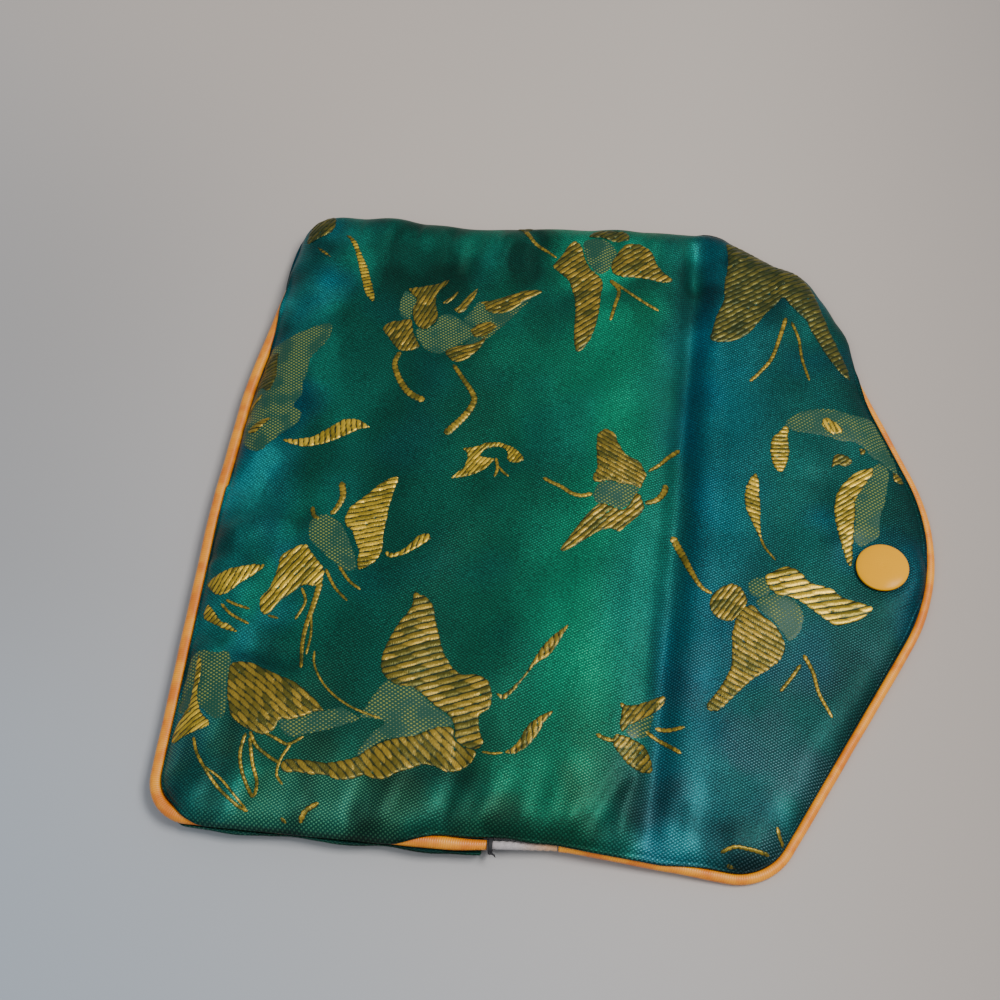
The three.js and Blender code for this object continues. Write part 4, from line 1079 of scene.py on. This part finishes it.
def satin_finish(name, underside):
    """Shot silk satin: green warp over a blue weft, with a fine grain, a dotted ground, and painted light and
    shade over its bands, puffs and seams.
    """
    finish = Finish(name, Roughness=0.46, Metallic=0.6)
    finish.shader.inputs["Specular IOR Level"].default_value = 0.2
    along = finish.math("DIVIDE", finish.x, BODY_LENGTH + FLAP_LENGTH)
    band = finish.math("ADD", along, finish.scaled(finish.noise(42.0, 1.0), 0.16, -0.08))
    # the greens along the purse carry a painted highlight band and painted shade in the fold and the hollows
    green = finish.ramp(band, [(place, linear(*colour)) for place, colour in GREENS_WITH_PAINTED_LIGHT])
    left = finish.grow(finish.x, 34.0, 8.0)
    # the blue near the left edge and on the flap is partly the silk's blue weft and partly a painted sheen
    blue = finish.ramp(finish.noise(20.0, 1.5), [(0.45, 0.0), (0.7, 0.8)])
    blue = finish.times(blue, finish.larger(left, finish.grow(finish.x, 96.0, 120.0, 0.15, 0.5)))
    colour = finish.mix(blue, green, linear(9, 74, 98))
    grain = finish.noise(0.42, 2.0, (0.85, 1.25, 1.0))
    colour = finish.shaded(colour, finish.ramp(grain, [(0.3, 0.6), (0.7, 1.4)], "LINEAR"))
    dots = finish.times(finish.wave(52, 0.6), finish.wave(-58, 0.58))
    colour = finish.shaded(colour, finish.ramp(dots, [(0.1, 0.72), (0.6, 1.42)]))
    # the dotted ground shows along the near edge, and further in on the flap
    low = finish.times(finish.grow(finish.x, 104, 122), finish.grow(finish.y, 90, 20))
    shown = finish.larger(finish.grow(finish.y, 46.0, 12.0), low)
    shown = finish.times(shown, finish.ramp(finish.noise(16.0, 1.0), [(0.4, 0.4), (0.6, 1.0)]))
    on_flap = finish.grow(finish.x, 92.0, 112.0)
    between = finish.mix(on_flap, linear(8, 46, 34), linear(12, 34, 42))
    colour = finish.mix(finish.times(shown, 0.62), colour, between)
    ground = finish.times(finish.ramp(dots, [(0.25, 0.0), (0.6, 1.0)]), shown)
    dotted = finish.mix(on_flap, linear(78, 134, 96), linear(92, 126, 134))
    colour = finish.mix(finish.times(ground, 0.42), colour, dotted)
    # painted light and shade over the cloth's puffs, strongest where the seams gather it
    painted_puff_light = finish.ramp(finish.noise(15.0, 1.2, (1.15, 0.9, 1.0)), [(0.34, 0.42), (0.5, 1.0), (0.64, 2.0)])
    painted_puff_zone = finish.larger(left, finish.grow(finish.y, 30.0, 6.0))
    painted_puff_zone = finish.larger(painted_puff_zone, finish.grow(finish.y, 128.0, 156.0))
    colour = finish.mix(finish.scaled(painted_puff_zone, 0.72, 0.2), colour, finish.shaded(colour, painted_puff_light))
    if underside:
        colour = finish.mix(0.5, colour, linear(6, 56, 62))
    # the shadow line where the cloth tucks in at the seam
    from_edge = finish.attribute("edge")[0]
    tucked = finish.ramp(finish.times(from_edge, 0.5), [(0.0, 0.45), (0.38, 1.0)])
    finish.colour(finish.shaded(colour, tucked))
    relief = finish.math("ADD", finish.times(dots, 0.7), finish.times(grain, 0.9))
    finish.bump(finish.math("ADD", relief, finish.times(finish.noise(6.0, 1.0), 1.6)), 0.07)
    return finish.material


def gold_finish():
    """Raised gold floats with a painted highlight on the ribs, and painted shade in the valleys between,
    where the dull green ground shows.
    """
    finish = Finish("gold_thread", Roughness=0.38, Metallic=0.6)
    finish.shader.inputs["Specular IOR Level"].default_value = 0.6
    height, tone, brick = finish.attribute("rib")
    darks = linear(46, 58, 18), linear(80, 80, 16), linear(128, 112, 18)
    lights = linear(96, 94, 30), linear(172, 142, 42), linear(250, 208, 58)
    dark, light = (finish.ramp(tone, list(zip((0.0, 0.5, 1.0), colours))) for colours in (darks, lights))
    gold = finish.mix(brick, dark, light)
    strands = finish.noise(0.4, 2.0, (1.8, 0.5, 1.0))
    gold = finish.shaded(gold, finish.ramp(strands, [(0.3, 0.35), (0.65, 1.0)]), 0.4)
    # painted highlight on the ribs' crests and painted shade in the valleys, from the rib height
    shade = finish.ramp(height, [(0.3, 0.0), (0.72, 1.0)])
    finish.colour(finish.mix(shade, linear(22, 44, 18), gold))
    finish.bump(strands, 0.08)
    return finish.material


def mesh_finish():
    """Green ground with a fine lattice of gold dots."""
    finish = Finish("gold_mesh", Roughness=0.42, Metallic=0.15)
    dots = finish.times(finish.wave(62, 0.7), finish.wave(-48, 0.78))
    uneven = finish.scaled(finish.noise(1.4, 2.0), 0.7, 0.65)
    uneven = finish.times(uneven, finish.ramp(finish.noise(5.0, 1.5), [(0.36, 0.5), (0.62, 1.3)]))
    shown = finish.ramp(finish.times(dots, uneven), [(0.24, 0.0), (0.8, 1.0)])
    finish.colour(finish.mix(shown, linear(3, 66, 50), linear(124, 134, 58)))
    finish.bump(shown, 0.08)
    return finish.material


def piping_finish():
    """Orange-gold satin cut on the bias; run is the distance and turn along the cord."""
    finish = Finish("piping_satin", Roughness=0.42, Sheen_Weight=0.1, Sheen_Roughness=0.35)
    distance, turn = finish.attribute("run")[:2]
    twill = finish.swing(finish.scaled(distance, 2 * math.pi / 0.5, finish.times(turn, 2.0)))
    oranges = [(0.35, linear(216, 116, 2)), (0.6, linear(242, 154, 3)), (0.8, linear(246, 172, 12))]
    patches = finish.ramp(finish.noise(5.0, 3.0), oranges)
    finish.colour(finish.mix(finish.times(twill, 0.25), patches, linear(150, 84, 20)))
    finish.bump(twill, 0.05)
    return finish.material


def plain_finish(name, colour, roughness, grain, size, **values):
    """One colour, lighter and darker by the share grain in specks of that size."""
    finish = Finish(name, Roughness=roughness, **values)
    dark = [c * (1 - grain) for c in colour[:3]] + [1.0]
    light = [min(1.0, c * (1 + grain)) for c in colour[:3]] + [1.0]
    finish.colour(finish.mix(finish.noise(size, 3.0), dark, light))
    return finish.material


def cord_finish():
    """A pale twisted cotton cord, stained orange towards the flap."""
    finish = Finish("cotton_cord", Roughness=0.8, Sheen_Weight=0.3)
    start, end = BARE_FROM * BODY_LENGTH, BARE_TO * BODY_LENGTH
    stain = finish.grow(finish.x, lerp(start, end, 0.35), end)
    colour = finish.mix(stain, linear(178, 170, 172), linear(206, 158, 112))
    fibres = finish.noise(0.35, 3.0)
    finish.colour(finish.shaded(colour, finish.ramp(fibres, [(0.3, 0.4), (0.7, 1.0)]), 0.4))
    finish.bump(fibres, 0.08)
    return finish.material


BROCADE = satin_finish("brocade_satin", False)
LINING = satin_finish("lining_satin", True)
GOLD = gold_finish()
MESH = mesh_finish()
PIPING = piping_finish()
CORD = cord_finish()
THREAD = plain_finish("black_thread", linear(24, 24, 28), 0.7, 0.3, 0.3)
PLASTIC = plain_finish("yellow_plastic", [0.78, 0.35, 0.0, 1.0], 0.24, 0.03, 4.0, Specular_IOR_Level=0.1)

# Cloth, over a grid with this cell in millimetres
STEP = 0.85
back_grid = panel_grid(
    BACK_LIP,
    lambda edge: rising(edge[MARKS["near_bottom"][1]:MARKS["tip"][0] + 1]),
    lambda edge: rising(edge[MARKS["tip"][2]:MARKS["far_bottom"][1] + 1][::-1]),
    lambda edge, near, far: edge[MARKS["tip"][0]:MARKS["tip"][2] + 1],
    STEP,
    True,
)
back = panel_piece("back_cloth", back_grid, BACK_LIP, back_top, back_under, [BROCADE, LINING], True)
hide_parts("back_panel")

front_grid = panel_grid(
    FRONT_LIP,
    lambda edge: before_mouth(rising(edge[MARKS["near_bottom"][1]:MARKS["near_flap"][0]])),
    lambda edge: before_mouth(rising(edge[MARKS["far_fold"][2]:MARKS["far_bottom"][1] + 1][::-1])),
    lambda edge, near, far: np.array([near[-1], far[-1]]),
    STEP,
    False,
)
front = panel_piece("front_cloth", front_grid, FRONT_LIP, front_inner, front_face, [BROCADE, LINING], False)
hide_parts("front_panel")


# Piping and bare cord
def seam_run(points, step):
    """Seam points with their height, respaced evenly."""
    length = lengths_of(points)
    even = at_lengths(points, length, np.linspace(0, length[-1], int(length[-1] / step) + 1))
    return np.column_stack([even, seam_at(along_at(even[:, 0]))])


def near_stretch(start, end):
    run = SEAM[MARKS["near_bottom"][2]:MARKS["near_flap"][0] + 1]
    xs = np.linspace(plan_point(start, 0)[0], plan_point(end, 0)[0], 60)
    return at_lengths(run, run[:, 0], xs)


FLAP_RUN = 1.12
flap_x = plan_point(FLAP_RUN, 0)[0]
order = np.arange(len(SEAM))
beyond = (order > MARKS["near_bottom"][2]) & (SEAM[:, 0] > flap_x + 0.5)
returning = (order > MARKS["tip"][2]) & (SEAM[:, 0] <= flap_x + 0.5)
cover_path = np.concatenate([
    near_stretch(BARE_TO, FLAP_RUN), SEAM[beyond], SEAM[returning],
    SEAM[:MARKS["near_bottom"][2] + 1], near_stretch(0.2, BARE_FROM),
])
cover_path = seam_run(cover_path, 0.3)


def piping_relief(distance, angle):
    twist = np.sin(distance * 2 * math.pi / PIPING_TWIST + 2 * angle)
    lumps = np.sin(distance / 3.1 + np.cos(angle)) * np.sin(distance / 7.3)
    return 0.012 * twist + 0.05 * lumps


def cover_radius(distance, path):
    """The cover thins where it ends on the bare cord."""
    to_end = np.minimum(distance, distance[-1] - distance)
    return piping_radius_at(along_at(path[:, 0])) * lerp(0.72, 1.0, smooth(to_end, 0.0, 9.0))


piping = sweep("piping_cover", cover_path, cover_radius, 18, PIPING, piping_relief)
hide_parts("piping")

gap = SEAM_GAP / BODY_LENGTH
core_path = seam_run(near_stretch(BARE_FROM + gap, BARE_TO - gap), 0.15)


def core_relief(distance, angle):
    strands = np.abs(np.sin(1.5 * angle + distance * 2 * math.pi / CORD_LAY))
    return -0.16 * (1 - np.sqrt(strands)) + 0.03 * np.sin(distance * 4.1 + 2 * angle)


core = sweep("bare_cord", core_path, lambda d, p: np.full(len(d), CORD_RADIUS), 24, CORD, core_relief)
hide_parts("piping_core")

# Black thread wound where the pocket's mouth ends, with its cut ends
tack_x = cover_path[-1][0] + 1.6 * SEAM_GAP + THREAD_RADIUS
tack_centre = np.array([tack_x, cover_path[-1][1], cover_path[-1][2]])
WINDS = 2.6
turns = np.linspace(0, WINDS * 2 * math.pi, 160)
wind_radius = CORD_RADIUS + 1.4 * SEAM_GAP + THREAD_RADIUS
loops = np.column_stack([
    tack_centre[0] + (turns / turns[-1] - 0.5) * 0.5,
    tack_centre[1] + wind_radius * np.cos(turns - 1.2),
    tack_centre[2] + wind_radius * np.sin(turns - 1.2),
])


def tube(path, radii, sides):
    """Points and faces of a closed tube along a path in space."""
    ahead = np.gradient(path, axis=0)
    ahead /= np.linalg.norm(ahead, axis=1)[:, None]
    side = np.cross(ahead[0], [0.31, 0.17, 0.93])
    rings = []
    for p, d, r in zip(path, ahead, radii):
        side = side - d * (side @ d)
        side /= np.linalg.norm(side)
        up = np.cross(d, side)
        a = np.arange(sides)[:, None] * 2 * math.pi / sides
        rings.append(p + r * (side * np.cos(a) + up * np.sin(a)))
    return np.concatenate(rings), tube_faces(len(path), sides)


def tubes(name, paths, radii, sides, material):
    """Several tubes as one piece."""
    points, faces = [], []
    for path, radius in zip(paths, radii):
        new_points, new_faces = tube(path, radius, sides)
        start = sum(len(p) for p in points)
        faces += [[start + i for i in face] for face in new_faces]
        points.append(new_points)
    return add_piece(name, np.concatenate(points), faces, [material])


def curve(points, count):
    """Smooth points through a few (Catmull-Rom)."""
    p = np.array(points, float)
    p = np.concatenate([[2 * p[0] - p[1]], p, [2 * p[-1] - p[-2]]])
    result = []
    for a, b, c, d in zip(p, p[1:], p[2:], p[3:]):
        t = np.linspace(0, 1, count, endpoint=False)[:, None]
        bend, turn = 2 * a - 5 * b + 4 * c - d, 3 * b - a - 3 * c + d
        result.append(0.5 * (2 * b + (c - a) * t + bend * t ** 2 + turn * t ** 3))
    return np.concatenate([*result, [p[-2]]])


knot = tack_centre + [0.1, -wind_radius, 0.3]
tail_a = curve([knot, knot + [0.5, -0.3, 0.2], knot + [0.9, -0.4, -0.2], knot + [1.2, -0.7, -0.6]], 8)
tail_b = curve([knot + [0.1, 0.3, 0.2], knot + [-0.1, -0.3, 0.3], knot + [0.35, -0.35, 0.1]], 8)
ties = [loops, tail_a, tail_b]
tie_radii = [np.full(len(loops), THREAD_RADIUS * 0.9)]
tie_radii += [np.linspace(THREAD_RADIUS * 0.8, THREAD_RADIUS * 0.3, len(t)) for t in (tail_a, tail_b)]
tack = tubes("tack_thread", ties, tie_radii, 8, THREAD)
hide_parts("mouth_tack")

# Press stud
cap_base = STUD_SEAT + SEAM_GAP
cap_edge = 0.35 * CAP_HEIGHT
post_end = STUD_SEAT - PRESSED_WALL
cap_profile = [(0, post_end), (POST_RADIUS, post_end), (POST_RADIUS, cap_base)]
cap_profile += [(CAP_RADIUS * 0.93, cap_base), (CAP_RADIUS, cap_base + 0.5 * cap_edge)]
for share in (0.995, 0.985, 0.965, 0.94, 0.9, 0.84, 0.76, 0.66, 0.54, 0.4, 0.26, 0.16, 0.12):
    height = cap_edge + (CAP_HEIGHT - cap_edge) * math.sqrt(1 - share * share)
    cap_profile.append((CAP_RADIUS * share, cap_base + height))
crown = cap_base + CAP_HEIGHT
cap_profile += [(CAP_RADIUS * 0.09, crown - 0.05), (CAP_RADIUS * 0.05, crown - 0.03), (0, crown - 0.02)]
cap = turned("stud_cap", cap_profile, STUD, PLASTIC, 96)
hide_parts("snap_cap")

flange_top = STUD_SEAT - PRESSED_WALL - SEAM_GAP
flange_under = flange_top - RING_THICKNESS
ball_end = flange_under - STUD_DROP
stud_profile = bevelled([
    (0, ball_end), (BALL_RADIUS * 0.8, ball_end), (BALL_RADIUS, flange_under - 0.75 * STUD_DROP),
    (BALL_RADIUS * 0.8, flange_under), (RING_RADIUS * 0.86, flange_under),
    (RING_RADIUS * 0.9, flange_under + 0.15), (RING_RADIUS * 0.94, flange_under),
    (RING_RADIUS, flange_under + 0.4 * RING_THICKNESS), (RING_RADIUS * 0.94, flange_top), (0, flange_top),
])
stud = turned("stud_ball", stud_profile, STUD, PLASTIC)
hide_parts("snap_stud")

mouth = BALL_RADIUS + SEAM_GAP
socket_floor = SOCKET_DEPTH - 0.5
socket_profile = bevelled([
    (0, socket_floor), (mouth, socket_floor), (mouth, 0.5), (mouth + 0.4, SEAM_GAP / 2),
    (RING_RADIUS * 0.9, SEAM_GAP / 2), (RING_RADIUS, 0.6), (RING_RADIUS, SOCKET_DEPTH - 0.2),
    (RING_RADIUS * 0.94, SOCKET_DEPTH), (0, SOCKET_DEPTH),
])
socket = turned("stud_socket", socket_profile, SOCKET, PLASTIC)
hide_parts("snap_socket")

socket_base = SOCKET_DEPTH + 2 * SEAM_GAP + PRESSED_WALL
socket_cap_profile = bevelled([
    (0, SOCKET_DEPTH + SEAM_GAP), (POST_RADIUS, SOCKET_DEPTH + SEAM_GAP), (POST_RADIUS, socket_base),
    (RING_RADIUS * 0.96, socket_base), (RING_RADIUS, socket_base + 0.4 * RING_THICKNESS),
    (RING_RADIUS * 0.9, socket_base + RING_THICKNESS), (0, socket_base + RING_THICKNESS),
])
socket_cap = turned("socket_washer", socket_cap_profile, SOCKET, PLASTIC)
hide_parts("socket_cap")


# Woven figures
def outline_at(points, step):
    """A closed outline rounded a little and respaced."""
    p = np.array(points, float)
    for _ in range(2):
        ahead = np.roll(p, -1, 0)
        p = np.stack([0.8 * p + 0.2 * ahead, 0.2 * p + 0.8 * ahead], 1).reshape(-1, 2)
    closed = np.concatenate([p, p[:1]])
    length = lengths_of(closed)
    count = max(12, int(length[-1] / step))
    return at_lengths(closed, length, np.linspace(0, length[-1], count, endpoint=False))


def figure_patch(points, pitch):
    """Grid points and faces inside an outline, the outer points brought to it, and their depth inside it."""
    outline = outline_at(points, pitch)
    low, high = outline.min(0) - pitch, outline.max(0) + pitch
    xs, ys = np.arange(low[0], high[0], pitch), np.arange(low[1], high[1], pitch)
    grid = np.stack(np.meshgrid(xs, ys, indexing="ij"), 2)
    near, depth = nearest_on(outline, grid.reshape(-1, 2))
    near, depth = near.reshape(grid.shape), depth.reshape(grid.shape[:2])
    kept = depth > -0.45 * pitch
    cells = kept[:-1, :-1] & kept[1:, :-1] & kept[1:, 1:] & kept[:-1, 1:]
    snapped = kept & (depth < 0.45 * pitch)
    grid[snapped] = near[snapped]
    depth = np.where(snapped, 0, depth)
    faces = grid_faces(len(xs), len(ys))[cells.ravel()]
    used, renumbered = np.unique(faces, return_inverse=True)
    return grid.reshape(-1, 2)[used], renumbered.reshape(faces.shape), depth.ravel()[used]


class Gathering:
    """Parts that become one piece."""

    def __init__(self):
        self.points, self.faces, self.values, self.count = [], [], [], 0

    def take(self, placed, faces, values):
        """Faces that lie wholly off the cloth are left out."""
        points, off = placed
        used, faces = np.unique(faces[~off[faces].all(1)], return_inverse=True)
        self.points.append(points[used])
        self.faces += (faces.reshape(-1, 4) + self.count).tolist()
        self.values.append(values[used])
        self.count += len(used)

    def piece(self, name, material, parent):
        points, values = np.concatenate(self.points), np.concatenate(self.values)
        result = add_piece(name, points, self.faces, [material], attributes={"rib": values})
        result.parent = parent
        return result


def jitter(*keys):
    """An even spread of -1 to 1 from whole numbers."""
    value = np.sin(sum(k * f for k, f in zip(keys, (12.9898, 78.233, 37.719)))) * 43758.5453
    return 2 * (value - np.floor(value)) - 1


TONES = {"dark": 0.12, "mid": 0.5, "bright": 0.88}
BRICKS = {"dark": 2.0, "mid": 2.4, "bright": 3.6}


def gold_relief(xy, depth, degrees, pitch, brick_share, seed):
    """Height in millimetres, the rib height that the gold finish paints as highlight and shade, lower towards
    the figure's edge, and brick lightness of padded gold ribs.
    """
    angle = math.radians(degrees)
    along = xy[:, 0] * math.cos(angle) + xy[:, 1] * math.sin(angle)
    across = -xy[:, 0] * math.sin(angle) + xy[:, 1] * math.cos(angle)
    across = across + 0.07 * pitch * np.sin(along / 2.3 + seed)
    row = np.floor(across / pitch)
    length = pitch * (brick_share + 0.35 * jitter(row, seed))
    shifted = along / length + 0.5 * row + 0.3 * jitter(row, seed + 3) + 0.5 * (across / pitch - row)
    brick = np.floor(shifted)
    rib = np.abs(np.sin(math.pi * across / pitch)) ** 0.55
    end = np.abs(np.sin(math.pi * shifted)) ** 0.35
    swell = rib * lerp(0.4, 1.0, end)
    ragged = depth - 0.14 * (1 + jitter(row, seed + 5)) + 0.12
    edge = np.clip(ragged / FIGURE_EDGE, 0, 1)
    edge = np.sqrt(edge * (2 - edge))
    height = edge * (0.05 + RIB_HEIGHT * swell * (1 + 0.2 * jitter(row, brick)))
    loose = np.sin(xy[:, 0] * 1.9 + seed) * np.sin(xy[:, 1] * 1.6 + 2 * seed)
    loose += np.sin((xy[:, 0] - xy[:, 1]) * 0.7)
    gap = (loose > 1.6) & (swell < 0.7) & (depth > 0.9)
    height = np.where(ragged < 0, -0.08, np.where(gap, -0.02, height))
    return height, swell * lerp(0.5, 1.0, edge), 0.5 + 0.5 * jitter(brick, row, seed)


def on_back(xy, height):
    """Points of a figure over the back's cloth, and which of them are off it."""
    inside = inside_by(xy[:, 0], xy[:, 1])
    from_edge = inside + lip_at(BACK_LIP, xy[:, 0], xy[:, 1])
    off = from_edge < FIGURE_MARGIN
    z = back_top(xy[:, 0], xy[:, 1], inside) + np.where(off, -OFF_DEPTH, height)
    return np.column_stack([xy, z]), off


def on_front(xy, height):
    """The same under the pocket's front, turned half round and pressed flatter by the table."""
    xy = FRONT_TURN - xy
    inside = inside_by(xy[:, 0], xy[:, 1])
    from_edge = inside + lip_at(FRONT_LIP, xy[:, 0], xy[:, 1])
    from_socket = np.hypot(xy[:, 0] - SOCKET[0], xy[:, 1] - SOCKET[1]) - CAP_RADIUS
    off = (np.minimum(from_edge, from_socket) < FIGURE_MARGIN) | (xy[:, 0] > POCKET_DEPTH - 0.4)
    z = front_face(xy[:, 0], xy[:, 1], inside) - np.where(off, -OFF_DEPTH, height * FRONT_SHARE)
    return np.column_stack([xy, z]), off


gold_pitch, mesh_pitch = ((0.27, 0.42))
WOVEN = {"gold_figures": GOLD, "mesh_figures": MESH, "gold_lines": GOLD}
on_both = {kind: (Gathering(), Gathering()) for kind in WOVEN}


def lay(kind, name, xy, height, faces, values):
    """A figure goes on the back, and on the front too if it comes again there."""
    on_both[kind][0].take(on_back(xy, height), faces, values)
    if name[0] in FRONT_FIGURES:
        on_both[kind][1].take(on_front(xy, height), faces[:, ::-1], values)


for seed, (name, (tone, degrees, pitch, points)) in enumerate(GOLD_FIGURES.items()):
    xy, faces, depth = figure_patch(points, gold_pitch)
    height, rib, brick = gold_relief(xy, depth, degrees, pitch, BRICKS[tone], seed)
    values = np.column_stack([rib, np.full(len(xy), TONES[tone]), brick])
    lay("gold_figures", name, xy, height, faces, values)

for name, points in MESH_FIGURES.items():
    xy, faces, depth = figure_patch(points, mesh_pitch)
    edge = np.clip(depth / MESH_EDGE, 0, 1)
    lay("mesh_figures", name, xy, 0.05 * edge + 0.02, faces, np.column_stack([edge, edge, edge]))


def line_strip(start, end, points):
    """A rounded raised line across the cloth, thickening and thinning like twisted thread."""
    path = curve([(*p, 0.0) for p in points], 10)[:, :2]
    length = lengths_of(path)
    path = at_lengths(path, length, np.linspace(0, length[-1], max(4, int(length[-1] / 0.3))))
    ahead = np.gradient(path, axis=0)
    side = np.stack([-ahead[:, 1], ahead[:, 0]], 1) / np.linalg.norm(ahead, axis=1)[:, None]
    share = np.linspace(0, 1, len(path))
    distance = share * length[-1]
    strand = np.abs(np.sin(math.pi * distance / STRAND + points[0][0]))
    width = lerp(start, end, share) * (0.78 + 0.22 * strand ** 0.5)
    width *= np.sqrt(np.clip(np.minimum(share, 1 - share) * length[-1] / 0.6 + 0.12, 0, 1))
    places = np.array([-0.5, -0.38, -0.2, 0.0, 0.2, 0.38, 0.5])
    arch = np.sqrt(1 - (2 * places) ** 2)
    xy = (path[:, None] + side[:, None] * (places[None, :, None] * width[:, None, None])).reshape(-1, 2)
    lean = np.abs(np.sin(math.pi * (distance[:, None] / STRAND + places[None] * 0.5) + points[0][0])) ** 0.4
    height = arch[None] * (0.1 + 0.2 * lean) * np.minimum(1, width[:, None] / 0.9) - 0.01
    count = len(places)
    # painted highlight along the thread's crest and its leaning strands, painted shade at its sides, passed
    # on as the rib height
    shade = (lean * (0.35 + 0.65 * arch[None])).ravel()
    brick = np.repeat(0.5 + 0.5 * jitter(np.floor(distance / STRAND), points[0][0]), count)
    values = np.column_stack([shade, np.full(len(xy), 0.62), brick])
    return xy, height.ravel(), grid_faces(len(path), count), values


for name, (start, end, points) in GOLD_LINES.items():
    lay("gold_lines", name, *line_strip(start, end, points))

for side, (prefix, cloth) in enumerate((("", back), ("front_", front))):
    for kind, material in WOVEN.items():
        on_both[kind][side].piece(prefix + kind, material, cloth)

# Floor, light and camera: the table has painted cool light at the lower left, and painted shade at both sides
bpy.ops.mesh.primitive_plane_add(size=6.0)
floor = bpy.context.object
floor.name = "floor"
paper = Finish("pale_paper", Roughness=0.75)
# painted cool light towards the lower left
painted_cool_light = paper.grow(paper.math("ADD", paper.x, paper.y), 250.0, -150.0)
pale = paper.mix(painted_cool_light, linear(182, 173, 165), linear(148, 161, 174))
right_side = paper.times(paper.grow(paper.x, 90.0, 240.0), 0.74)
left_side = paper.times(paper.grow(paper.x, 40.0, -70.0), paper.grow(paper.y, 260.0, 120.0))
left_side = paper.times(left_side, paper.grow(paper.y, 0.0, 70.0))
# painted shade on both sides of the table
painted_side_shade = paper.larger(right_side, paper.times(left_side, 0.36))
paper.colour(paper.mix(painted_side_shade, pale, linear(132, 126, 122)))
floor.data.materials.append(paper.material)


def area_light(name, place, aim, size, power, colour):
    data = bpy.data.lights.new(name, "AREA")
    data.shape = "RECTANGLE"
    data.size, data.size_y = size
    data.energy = power
    data.color = colour
    lamp = bpy.data.objects.new(name, data)
    lamp.location = place
    lamp.rotation_euler = (Vector(aim) - Vector(place)).to_track_quat("-Z", "Y").to_euler()
    bpy.context.scene.collection.objects.link(lamp)


area_light("window", (0.45, -0.02, 0.85), (0, 0, 0), (0.4, 0.3), 9.0, (1.0, 0.96, 0.92))
area_light("ceiling", (-0.3, -0.5, 0.9), (0, 0, 0), (0.7, 0.5), 3.0, (0.96, 0.98, 1.0))

world = bpy.data.worlds.new("soft_room")
bpy.context.scene.world = world
world.use_nodes = True
world.node_tree.nodes["Background"].inputs["Color"].default_value = (0.82, 0.86, 0.92, 1.0)
world.node_tree.nodes["Background"].inputs["Strength"].default_value = 0.45

# The camera as fitted to the photograph: distance and aim in millimetres, the lens on a 36 mm sensor
ELEVATION, AZIMUTH, ROLL = map(math.radians, (58.5, 12.2545, -5.5))
DISTANCE, LENS = 392.128, 58.185
AIM = np.array([67.257, 89.265, 0.0])
level = math.cos(ELEVATION)
back_way = Vector((math.sin(AZIMUTH) * level, -math.cos(AZIMUTH) * level, math.sin(ELEVATION)))
right = (-back_way).cross(Vector((0, 0, 1))).normalized()
up = right.cross(-back_way)
turned_right = right * math.cos(ROLL) + up * math.sin(ROLL)
turned_up = -right * math.sin(ROLL) + up * math.cos(ROLL)
view = Matrix((turned_right, turned_up, back_way)).transposed().to_4x4()
view.translation = Vector(metres(AIM)) + back_way * DISTANCE / 1000
camera_data = bpy.data.cameras.new("camera")
camera_data.lens = LENS
camera_data.sensor_width = 36.0
camera_data.clip_start = 0.01
camera = bpy.data.objects.new("camera", camera_data)
camera.matrix_world = view
bpy.context.scene.collection.objects.link(camera)
bpy.context.scene.camera = camera
